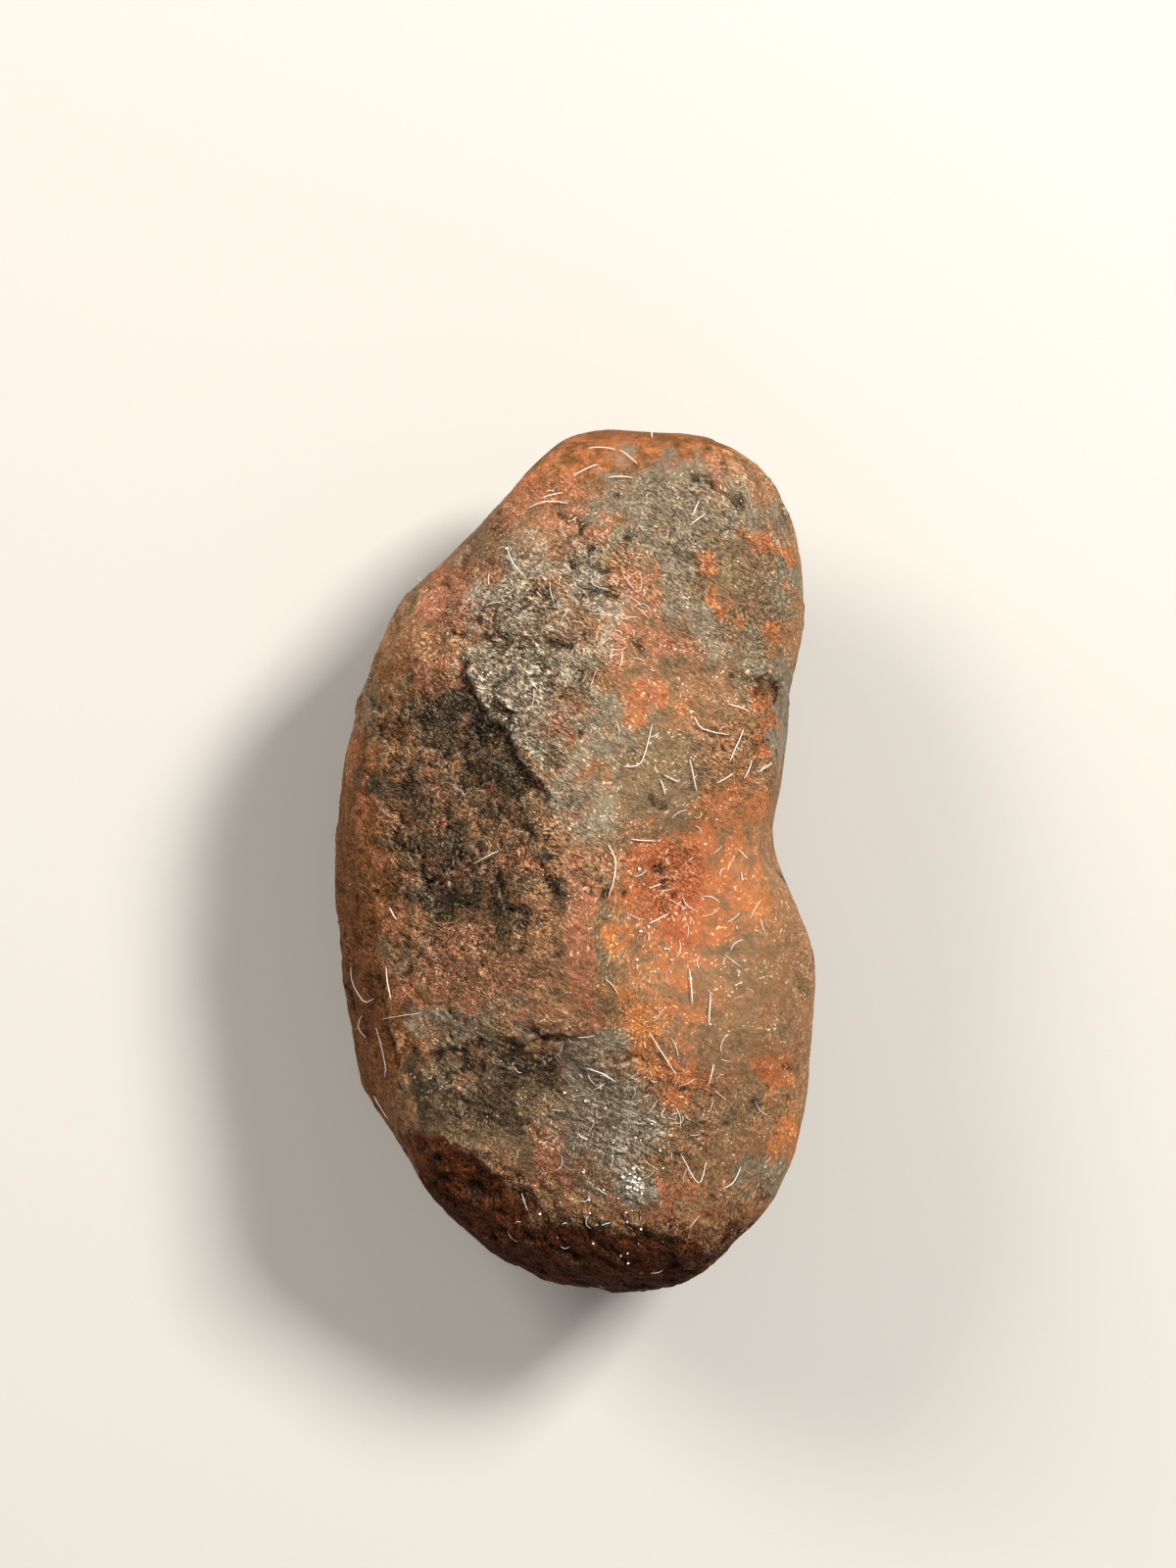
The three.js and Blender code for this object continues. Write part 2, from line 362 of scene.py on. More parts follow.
# Rows of a zone: x, y, half width, half height, turn and roughness.
ZONES = (
    Zone(-3.8, 1.4, 3.3, 5.6, 0, 1.1),
    Zone(-1.6, 7.6, 2.2, 3.0, 25, 0.8),
    Zone(1.0, 10.2, 1.4, 1.2, 0, 0.7),
    Zone(4.2, 11.6, 1.8, 1.6, 0, 0.6),
    Zone(6.6, 9.0, 1.0, 2.6, 0, 0.55),
    Zone(-3.0, -7.0, 2.6, 1.8, 0, 0.6),
    Zone(-2.8, -11.8, 3.0, 1.6, -34, 0.9),
    Zone(0.8, -13.8, 5.0, 1.8, 0, 0.9),
    Zone(1.6, -9.4, 2.6, 2.6, 0, 0.45),
    Zone(1.5, 14.6, 4.2, 1.2, 0, 0.14),
    Zone(-7.5, -2.6, 1.4, 8.0, 5, 0.55),
    Zone(4.8, -2.4, 2.2, 4.6, 0, 0.05),
    Zone(3.3, -0.6, 0.9, 1.4, 0, 0.5),
)

CRESTS = (
    Crest(
        ((-3.5, 6.6), (-3.25, 5.7), (-2.9, 5.35), (-2.3, 4.6), (-1.8, 3.75), (-1.2, 2.9)),
        lift=0.16, drop=0.38, width=0.3, reach=1.3, jag=0.18, dark=0.65,
    ),
    Crest(
        ((-1.5, 2.4), (-1.5, 1.2), (-0.9, -0.2), (-0.4, -0.8)),
        lift=0.04, drop=0.16, width=0.35, reach=1.2, jag=0.35, dark=0.12,
    ),
    Crest(
        ((-0.35, -0.9), (-0.3, -2.7), (-0.1, -4.1), (-0.2, -5.8)),
        lift=0.02, drop=0.14, width=0.4, reach=1.6,
    ),
    Crest(
        ((-5.3, -6.3), (-3.6, -5.9), (-1.6, -6.1), (-0.4, -5.9)),
        lift=0.04, drop=0.14, width=0.3, reach=1.2, jag=0.3, dark=0.2,
    ),
    Crest(
        ((-6.5, -4.6), (-6.1, -6.1), (-5.8, -8.6), (-5.3, -10.5)),
        lift=0.04, drop=0.3, width=0.3, reach=1.5, jag=0.12,
    ),
    Crest(
        ((-5.3, -9.8), (-3.4, -10.0), (-2.3, -11.2), (-1.9, -12.5)),
        lift=0.03, drop=0.16, width=0.5, reach=1.6, jag=0.35,
    ),
    Crest(
        ((-1.9, -12.5), (-0.2, -12.3), (1.2, -12.25), (3.5, -12.7), (4.2, -14.2)),
        lift=0.03, drop=0.12, width=0.5, reach=1.5, jag=0.35,
    ),
    Crest(
        ((6.0, 6.5), (6.5, 6.45), (7.0, 6.3), (7.2, 5.9), (7.25, 5.2), (7.3, 4.4)),
        lift=0.12, drop=0.18, width=0.26, reach=0.6, jag=0.1, dark=0.22,
    ),
)

CRACKS = (
    Crack(((0.4, 10.3), (0.8, 10.1), (1.2, 9.9)), 0.09, 0.16),
    Crack(((0.5, 9.4), (1.0, 9.2), (1.5, 9.1)), 0.08, 0.14),
    Crack(((-0.5, 12.0), (-0.2, 11.8), (0.0, 11.8)), 0.09, 0.14),
    Crack(((2.0, 7.6), (2.3, 7.3)), 0.1, 0.14),
    Crack(((-1.0, 7.8), (-0.6, 7.5), (-0.1, 7.4)), 0.09, 0.15),
    Crack(((2.55, 2.25), (2.8, 1.95), (3.15, 1.9)), 0.075, 0.16),
    Crack(((7.2, -7.0), (7.5, -7.1)), 0.09, 0.12),
    Crack(((3.2, -7.4), (3.7, -7.8)), 0.08, 0.12),
)

PITS = (
    Pit(2.9, -0.2, 0.2, 0.16),
    Pit(3.1, -0.7, 0.22, 0.2),
    Pit(3.4, -1.1, 0.16, 0.14),
    Pit(1.1, -1.0, 0.14, 0.14),
    Pit(1.75, -1.0, 0.13, 0.14),
    Pit(1.5, 12.6, 0.14, 0.12),
    Pit(3.5, 10.7, 0.14, 0.12),
    Pit(5.4, 6.4, 0.12, 0.1),
    Pit(5.2, -8.9, 0.14, 0.1),
    Pit(6.1, -8.2, 0.12, 0.1),
    Pit(4.7, -11.4, 0.14, 0.1),
    Pit(-2.6, 12.1, 0.15, 0.12),
    Pit(0.2, 4.4, 0.16, 0.12),
)

CHIPS = (
    Chips(size=1.3, slope=0.12, step=0.04, gap=0.0, seed=31.0),
    Chips(size=0.6, slope=0.16, step=0.04, gap=0.05, seed=47.0),
)

WRINKLES = (
    Wrinkles(size=1.1, rise=0.1, seed=71.0),
    Wrinkles(size=0.5, rise=0.06, seed=73.0),
)


def put(name: str, data: bpy.types.ID) -> bpy.types.Object:
    """Put a mesh, a lamp or a camera in the scene.

    Args:
        name: The name of its object.
        data: The mesh, the lamp or the camera.

    Returns:
        The object.
    """
    thing = bpy.data.objects.new(name, data)
    bpy.context.scene.collection.objects.link(thing)
    return thing


def smoothstep(low: float, high: float, value: np.ndarray) -> np.ndarray:
    """Ease values from 0 at low to 1 at high."""
    share = np.clip((value - low) / (high - low), 0.0, 1.0)
    return share * share * (3.0 - 2.0 * share)


def bell(distance: np.ndarray, width: float) -> np.ndarray:
    """Fall off evenly on both sides of no distance, to about a third at the width."""
    return np.exp(-((distance / width) ** 2))


def noise_places(points: np.ndarray, size: float, seed: float) -> list[list[float]]:
    """Measure points in sizes of the noise, shifted by a seed so that each use has its own noise."""
    return (points / size + (seed, 2.3 * seed, 1.7 * seed)).tolist()


def fractal(points: np.ndarray, size: float, seed: float, octaves: int = 1) -> np.ndarray:
    """Sample smooth noise of about -1 to 1, with lumps of a size in millimetres and ever finer layers."""
    lumps = (noise.fractal(place, LAYER_FADE, 2.0, octaves) for place in noise_places(points, size, seed))
    return np.fromiter(lumps, float, len(points))


def ridged(points: np.ndarray, size: float, seed: float, octaves: int) -> np.ndarray:
    """Sample noise of about 0 to 1 with sharp crests, with folds of a size in millimetres.

    Args:
        points: Where to sample, one row a point, in millimetres.
        size: Size of the largest folds, in millimetres.
        seed: Shifts the noise.
        octaves: How many ever finer layers are added up.

    Returns:
        One value a point.
    """
    places = noise_places(points, size, seed)
    folds = (noise.ridged_multi_fractal(place, LAYER_FADE, 2.1, octaves, 1.0, 2.0) for place in places)
    return np.fromiter(folds, float, len(points)) / HIGHEST_FOLD


def cells(points: np.ndarray, size: float, seed: float) -> tuple[np.ndarray, np.ndarray, np.ndarray]:
    """Divide space into irregular cells, like the scales of a crust.

    Args:
        points: Where to sample, one row a point, in millimetres.
        size: The usual size of a cell, in millimetres.
        seed: Shifts the cells, so that each use has its own.

    Returns:
        For each point the distance to the cell's border in cell sizes, a random value of the cell from 0
        to 1, and how high the point stands on the cell's own slant, of about -1 to 1.
    """
    places = points / size + (seed, 1.9 * seed, 2.9 * seed)
    border, value, slant = np.empty((3, len(places)))
    for index, place in enumerate(places.tolist()):
        distances, hearts = noise.voronoi(place)
        tilt = noise.cell_vector(hearts[0])
        border[index] = distances[1] - distances[0]
        value[index] = 0.5 + 0.5 * tilt.x
        slant[index] = (Vector(place) - hearts[0]).dot(tilt)
    return border, value, slant


def along(points: np.ndarray, path: Route) -> tuple[np.ndarray, np.ndarray]:
    """Measure how far points lie from a path in the plan.

    Args:
        points: The points, one row each, in millimetres.
        path: Corners of the path, in millimetres.

    Returns:
        The distance to the path, and the same distance with a minus sign on the path's right-hand side.
    """
    nearest, signed = np.full((2, len(points)), np.inf)
    for start, end in zip(path[:-1], path[1:]):
        leg = np.subtract(end, start)
        off = points[:, :2] - start
        share = np.clip(off @ leg / (leg @ leg), 0.0, 1.0)
        distance = np.linalg.norm(off - share[:, None] * leg, axis=1)
        side = np.sign(leg[0] * off[:, 1] - leg[1] * off[:, 0])
        closer = distance < nearest
        nearest[closer] = distance[closer]
        signed[closer] = (distance * side)[closer]
    return nearest, signed


def oval(points: np.ndarray, shape: Patch | Zone, rag: np.ndarray) -> np.ndarray:
    """Measure how far points lie inside an oval of the plan, with a ragged border.

    Args:
        points: The points, one row each, in millimetres.
        shape: The oval.
        rag: How far the border moves at each point, in millimetres.

    Returns:
        1 well inside, 0 outside.
    """
    turn = math.radians(shape.turn)
    off = points[:, :2] - (shape.x, shape.y)
    across = (off[:, 0] * math.cos(turn) + off[:, 1] * math.sin(turn)) / shape.half_width
    down = (off[:, 1] * math.cos(turn) - off[:, 0] * math.sin(turn)) / shape.half_height
    wobble = rag / min(shape.half_width, shape.half_height)
    return 1.0 - smoothstep(1.0 - shape.soft, 1.0 + shape.soft, np.hypot(across, down) + wobble)


@dataclass
class CrustField:
    """Everything that varies over the crust, one value a point."""

    points: np.ndarray
    normals: np.ndarray
    grain_lean: float = -26.0
    plain_roughness: float = 0.26
    side_roughness: float = 0.8
    height: np.ndarray = field(init=False)
    crevice_shade: np.ndarray = field(init=False)
    worn: np.ndarray = field(init=False)
    scaly: np.ndarray = field(init=False)
    upper: np.ndarray = field(init=False)
    facing: np.ndarray = field(init=False)
    stains: dict[Stain, np.ndarray] = field(init=False)

    def __post_init__(self) -> None:
        """Start with a bare, smooth crust."""
        self.height, self.crevice_shade, self.worn, self.scaly = np.zeros((4, len(self.points)))
        rise = self.normals[:, 2]
        self.upper = smoothstep(-0.35, 0.0, rise + 0.45 * np.minimum(self.lumps(1.6, 330.0, 4), 0.0))
        self.facing = smoothstep(0.05, 0.45, rise)
        self.stains = {stain: np.zeros(len(self.points)) for stain in Stain}

    def lumps(self, size: float, seed: float, octaves: int = 1) -> np.ndarray:
        """Sample smooth noise over the crust."""
        return fractal(self.points, size, seed, octaves)

    def paint_shade(self, share: np.ndarray) -> None:
        """Paint shade into hollows, where it isn't darker already."""
        self.crevice_shade = np.maximum(self.crevice_shade, share)

    def cover(self, stain: Stain, weight: np.ndarray) -> None:
        """Lay a stain over the crust, where there isn't more of it already."""
        self.stains[stain] = np.maximum(self.stains[stain], weight)

    def roughen(self) -> None:
        """Work out how scaly the crust is at each point."""
        self.scaly = self.plain_roughness + 0.25 * smoothstep(-0.2, 0.6, self.lumps(4.0, 3.1, 2))
        rag = 0.5 * self.lumps(1.3, 40.0, 3)
        for zone in ZONES:
            inside = oval(self.points, zone, rag) * self.upper
            self.scaly += inside * (zone.roughness - self.scaly)
        self.scaly += (1.0 - self.upper) * (self.side_roughness - self.scaly)

    def streaked(self, stretch: float) -> np.ndarray:
        """Squeeze the points along the way that the crust's grain runs, so that noise there is streaky.

        Args:
            stretch: How many times longer than wide the streaks are.

        Returns:
            The squeezed points.
        """
        lean = math.radians(self.grain_lean)
        streak = np.array([math.cos(lean), math.sin(lean), 0.0])
        return self.points - np.outer(self.points @ streak, (1.0 - 1.0 / stretch) * streak)

    def bent(self, points: np.ndarray, amount: float, size: float, seed: float) -> np.ndarray:
        """Shift points about by smooth noise, by an amount in millimetres at most."""
        shifts = [self.lumps(size, seed + turn, 2) for turn in (0.1, 0.5, 0.9)]
        return points + amount * np.column_stack(shifts)

    def add_swells(self) -> None:
        """Add the gentle lumps that are too fine for the facets."""
        self.height += 0.05 * self.lumps(2.2, 11.0, 2)
        self.height += 0.04 * self.lumps(0.9, 12.0, 2) * (0.3 + 0.7 * self.scaly)

    def add_chips(self) -> None:
        """Break the crust into little slanting chips with sharp creases between them."""
        for chips in CHIPS:
            places = self.bent(self.streaked(1.6), 0.4 * chips.size, 0.8 * chips.size, chips.seed)
            border, value, slant = cells(places, chips.size, chips.seed)
            patchy = self.lumps(3.0 * chips.size, chips.seed + 2.0, 2)
            amount = smoothstep(0.1, 1.0, self.scaly + 0.6 * patchy)
            self.height += amount * (chips.slope * chips.size * slant + chips.step * (value - 0.5))
            slit = bell(border, 0.12) * smoothstep(0.55, 0.95, value)
            self.height -= amount * chips.gap * slit
            # Painted shade in the slits between chips.
            self.paint_shade(0.8 * amount * slit)

    def add_wrinkles(self) -> None:
        """Add sharp little wrinkles that run with the grain."""
        for wrinkles in WRINKLES:
            size = wrinkles.size
            places = self.bent(self.streaked(1.5), 0.5 * size, 1.5 * size, wrinkles.seed)
            fold = ridged(places, size, wrinkles.seed, 3)
            self.height += wrinkles.rise * (fold - 0.5) * smoothstep(0.1, 1.0, self.scaly)

    def add_crests(self) -> None:
        """Sharpen the ridges where facets meet, and drop the ground beside them."""
        for index, crest in enumerate(CRESTS):
            distance, signed = along(self.points, crest.path)
            signed = signed + crest.jag * self.lumps(0.9, 60.0 + index, 4)
            beyond = np.minimum(signed, 0.0)
            near = smoothstep(crest.reach + crest.width, 0.3 * crest.reach, distance) * self.facing
            edge = bell(signed, 0.4 * crest.width)
            foot = smoothstep(0.04, -crest.width, signed) * np.exp(beyond / (0.5 * crest.reach))
            self.height += near * (crest.lift * edge - crest.drop * foot)
            # Painted shadow on the lower ground below the edge, scaled by the crest's dark share.
            shade = smoothstep(0.02, -0.3 * crest.width, signed) * np.exp(beyond / (0.3 * crest.reach))
            shade *= 0.5 + 0.5 * smoothstep(-0.2, 0.3, self.lumps(0.5, 65.0 + index, 3))
            self.paint_shade(crest.dark * near * shade)

    def add_cracks(self) -> None:
        """Open the separate cracks."""
        for index, crack in enumerate(CRACKS):
            bent = self.points + 0.07 * self.lumps(0.45, 80.0 + index, 2)[:, None]
            distance, _ = along(bent, crack.path)
            slit = bell(distance, crack.width) * self.facing
            self.height -= crack.depth * slit
            # Painted shade in the crack.
            self.paint_shade(slit)

    def add_pits(self) -> None:
        """Sink the separate pits."""
        for pit in PITS:
            bent = self.points + 0.06 * self.lumps(0.35, pit.x, 2)[:, None]
            dip = bell(np.hypot(bent[:, 0] - pit.x, bent[:, 1] - pit.y), pit.radius) * self.facing
            self.height -= pit.depth * dip
            # Painted shade in the pit.
            self.paint_shade(0.9 * dip)

    def add_grain(self) -> None:
        """Add the fine grain of the crust."""
        self.height += 0.03 * self.lumps(0.34, 21.0, 2) * (0.4 + 0.8 * self.scaly)

    def calm_the_rim(self) -> None:
        """Keep the relief low where the crust turns down, so that the outline stays even."""
        self.height *= 0.5 + 0.5 * smoothstep(0.15, 0.6, np.abs(self.normals[:, 2]))

    def paint_shade_and_highlight(self, mesh: bpy.types.Mesh) -> None:
        """Find the hollows to paint with shade and the little crests to paint with a highlight.

        Args:
            mesh: The net that the points belong to.
        """
        edges = np.empty(len(mesh.edges) * 2, dtype=np.int64)
        mesh.edges.foreach_get("vertices", edges)
        first, second = edges.reshape(-1, 2).T
        count = len(self.points)
        share = np.bincount(first, minlength=count) + np.bincount(second, minlength=count)
        level = self.height.copy()
        for _ in range(8):
            total = np.bincount(first, level[second], count) + np.bincount(second, level[first], count)
            level = total / share
        proud = self.height - level
        # Painted shade in the hollows that sit below their neighbours.
        self.paint_shade(smoothstep(0.005, -0.09, proud))
        # Painted highlight on the little crests that stand above their neighbours.
        self.worn = smoothstep(0.0, 0.07, proud)

    def flatten_the_spot(self) -> None:
        """Leave the spot that the meteorite rests on flat, with only a hint of relief."""
        self.height *= 0.08 + 0.92 * smoothstep(0.05, 1.2, self.points[:, 2])

    def paint(self) -> None:
        """Lay the stains over the crust."""
        rags = [0.55 * self.lumps(1.0, seed, 4) for seed in (100.0, 103.0, 106.0)]
        for stain, patches in PATCHES.items():
            for index, patch in enumerate(patches):
                inside = oval(self.points, patch, rags[index % len(rags)])
                self.cover(stain, inside * patch.strength * self.upper)
        for index, stain in enumerate(SIDE_STAINS):
            drift = 0.9 * smoothstep(0.05, 0.5, self.lumps(3.2, 200.0 + 7.0 * index, 3))
            self.cover(stain, drift * (1.0 - self.upper))
        # Darker towards the lower end: partly painted shade on the faces that turn down there.
        self.cover(Stain.UMBER_AND_SHADE, 0.8 * smoothstep(-10.5, -14.0, self.points[:, 1]))

    def upright(self) -> np.ndarray:
        """Find where the grain runs up and down instead of slanting.

        Returns:
            1 where it runs up and down, 0 where it slants.
        """
        x, y = self.points[:, :2].T
        low = smoothstep(-6.0, -9.0, y + self.lumps(3.0, 310.0, 2))
        middle = smoothstep(2.6, 1.2, np.abs(x - 2.0)) * smoothstep(0.5, -2.0, y)
        return np.maximum(low, middle)

    def dull(self) -> np.ndarray:
        """Return where the crust gets no painted glints, grain glints or crest highlights, 0 to 1."""
        shares = ((Stain.UMBER_AND_SHADE, 0.75), (Stain.MAGNETITE, 0.35), (Stain.BROWN, 0.55))
        return np.max([share * self.stains[stain] for stain, share in shares], axis=0)


class NodeSheet:
    """A material's nodes, added in the order that they are used."""

    def __init__(self, name: str) -> None:
        """Start an empty material.

        Args:
            name: The material's name.
        """
        self.material = bpy.data.materials.new(name)
        self.material.use_nodes = True
        self.tree = self.material.node_tree
        self.tree.nodes.clear()

    def add(self, kind: str, feeds: Feeds, output: str | int = 0, **settings: object) -> Socket:
        """Add a node, set it up and feed its inputs.

        Args:
            kind: What kind of node it is.
            feeds: What goes into each input: a socket to link, or a number, colour or vector to hold.
            output: Which of its outputs is wanted.
            settings: The node's other settings.

        Returns:
            The socket with the result.
        """
        node = self.tree.nodes.new("ShaderNode" + kind)
        for name, setting in settings.items():
            setattr(node, name, setting)
        for name, feed in feeds.items():
            if isinstance(feed, Socket):
                self.tree.links.new(feed, node.inputs[name])
            else:
                node.inputs[name].default_value = feed.linear() if isinstance(feed, Tone) else feed
        return node.outputs[output]

    def finished(self, feeds: Feeds) -> bpy.types.Material:
        """End the material with its shader.

        Args:
            feeds: What goes into each of the shader's inputs.

        Returns:
            The material.
        """
        shader = self.add("BsdfPrincipled", feeds)
        output = self.tree.nodes.new("ShaderNodeOutputMaterial")
        self.tree.links.new(shader, output.inputs["Surface"])
        return self.material

    def place(self) -> Socket:
        """Give the place on the piece in millimetres."""
        return self.scaled(self.add("TexCoord", {}, "Object"), 1.0 / MM)

    def scaled(self, source: Socket, share: Socket | float) -> Socket:
        """Multiply a place or a colour by a number."""
        return self.add("VectorMath", {0: source, "Scale": share}, operation="SCALE")

    def attribute(self, name: str) -> Socket:
        """Give a value that the mesh carries at its points."""
        return self.add("Attribute", {}, "Fac", attribute_name=name)

    def noise(self, place: Socket, size: float, detail: int, roughness: float, kind: str = "FBM") -> Socket:
        """Give noise of 0 to 1, in lumps of a size in millimetres with rougher or gentler finer layers."""
        feeds = {"Vector": place, "Scale": 1.0 / size, "Detail": detail, "Roughness": roughness}
        return self.add("TexNoise", feeds, "Fac", noise_type=kind)

    def shifted(self, place: Socket, size: float, amount: float) -> Socket:
        """Shift a place about by smooth noise of a size, by an amount at most, all in millimetres."""
        drift = self.add("TexNoise", {"Vector": place, "Scale": 1.0 / size, "Detail": 1.0}, "Color")
        return self.add("VectorMath", {0: drift, 1: (amount,) * 3, 2: place}, operation="MULTIPLY_ADD")

    def streaked(self, place: Socket, lean: float, stretch: float) -> Socket:
        """Squeeze a place so that noise there has streaks, at a lean in degrees from the width."""
        feeds = {"Vector": place, "Rotation": (0.0, 0.0, math.radians(lean)), "Scale": (stretch, 1.0, 1.0)}
        return self.add("Mapping", feeds, vector_type="TEXTURE")

    def span(
        self, source: Socket, low: float, high: float, start: float, end: float, kind: str = "LINEAR"
    ) -> Socket:
        """Map values of low to high onto start to end."""
        feeds = {"Value": source, "From Min": low, "From Max": high, "To Min": start, "To Max": end}
        return self.add("MapRange", feeds, "Result", interpolation_type=kind)

    def ease(self, source: Socket, low: float, high: float) -> Socket:
        """Ease values from 0 at low to 1 at high.

        Args:
            source: The values.
            low: The value that becomes 0.
            high: The value that becomes 1, which may be the lower one.

        Returns:
            The socket with the eased values.
        """
        if low > high:
            return self.span(source, high, low, 1.0, 0.0, "SMOOTHSTEP")
        return self.span(source, low, high, 0.0, 1.0, "SMOOTHSTEP")

    def product(self, first: Socket, *others: Socket | float) -> Socket:
        """Multiply numbers.

        Args:
            first: The first number.
            others: The others.

        Returns:
            The socket with the product.
        """
        for other in others:
            first = self.add("Math", {0: first, 1: other}, operation="MULTIPLY")
        return first

    def total(self, first: Socket, second: Socket) -> Socket:
        """Add two numbers."""
        return self.add("Math", {0: first, 1: second}, operation="ADD")

    def blend(self, share: Socket, first: Socket | float, second: Socket | float) -> Socket:
        """Go from one number to another by a share of 0 to 1."""
        return self.add("Mix", {0: share, 2: first, 3: second}, data_type="FLOAT")

    def mix(self, share: Socket, first: Socket | Tone, second: Socket | Tone) -> Socket:
        """Go from one colour to another by a share of 0 to 1."""
        return self.add("Mix", {0: share, 6: first, 7: second}, 2, data_type="RGBA")


@dataclass(frozen=True)
class CrustFinish:
    """The weathered crust: grain and mottling in the base, stains over it, painted shade in the gaps and
    painted highlights.
    """

    base: Tone = Tone(150, 107, 73)
    base_dark: Tone = Tone(124, 87, 58)
    ember: Tone = Tone(180, 108, 58)
    ash: Tone = Tone(104, 84, 60)
    # Colour of the painted highlights on little crests and of the painted streaks on the bright metal stain.
    worn: Tone = Tone(220, 206, 182)
    # Colour of the painted shade in hollows, slits, cracks, pits and below sharp ridges.
    gap: Tone = Tone(16, 10, 5)
    # Colour of the pale grain specks, partly painted glints.
    fleck_and_glint: Tone = Tone(230, 198, 152)
    glint: Tone = Tone(255, 238, 206)
    roughness: float = 0.6
    metallic: float = 0.12
    glint_roughness: float = 0.3
    mirror: float = 0.08
    lean: float = -30.0
    grit_lean: float = -34.0
    upright_lean: float = 78.0
    grit_size: float = 0.05
    grit_stretch: float = 3.6
    stains: tuple[StainFinish, ...] = (
        StainFinish(Stain.BROWN, Tone(127, 79, 41), Tone(88, 57, 29), 0.66, 0.0, 1.8),
        StainFinish(Stain.OLIVE, Tone(113, 92, 66), Tone(93, 74, 53), 0.6, 0.1, 1.8),
        StainFinish(Stain.RUST, Tone(158, 95, 56), Tone(135, 83, 50), 0.7, 0.0, 1.8),
        StainFinish(Stain.GLOW, Tone(169, 105, 55), Tone(144, 88, 48), 0.7, 0.0, 2.0),
        StainFinish(Stain.HEMATITE, Tone(148, 96, 69), Tone(124, 80, 57), 0.6, 0.05, 2.2),
        StainFinish(Stain.SCARLET, Tone(157, 87, 51), Tone(128, 69, 41), 0.65, 0.0, 1.6),
        StainFinish(Stain.SLATE, Tone(124, 103, 77), Tone(99, 79, 57), 0.55, 0.1, 1.8),
        StainFinish(Stain.STEEL, Tone(126, 112, 92), Tone(100, 89, 73), 0.5, 0.3, 2.0),
        # Bright metal, partly painted sheen.
        StainFinish(Stain.SILVER_SHEEN, Tone(140, 130, 112), Tone(92, 83, 69), 0.42, 0.4, 1.5),
        StainFinish(Stain.MAGNETITE, Tone(30, 24, 18), Tone(82, 66, 47), 0.55, 0.1, 2.2),
        # Darkest brown, partly painted shade.
        StainFinish(Stain.UMBER_AND_SHADE, Tone(50, 23, 8), Tone(94, 48, 18), 0.75, 0.0, 1.6),
    )


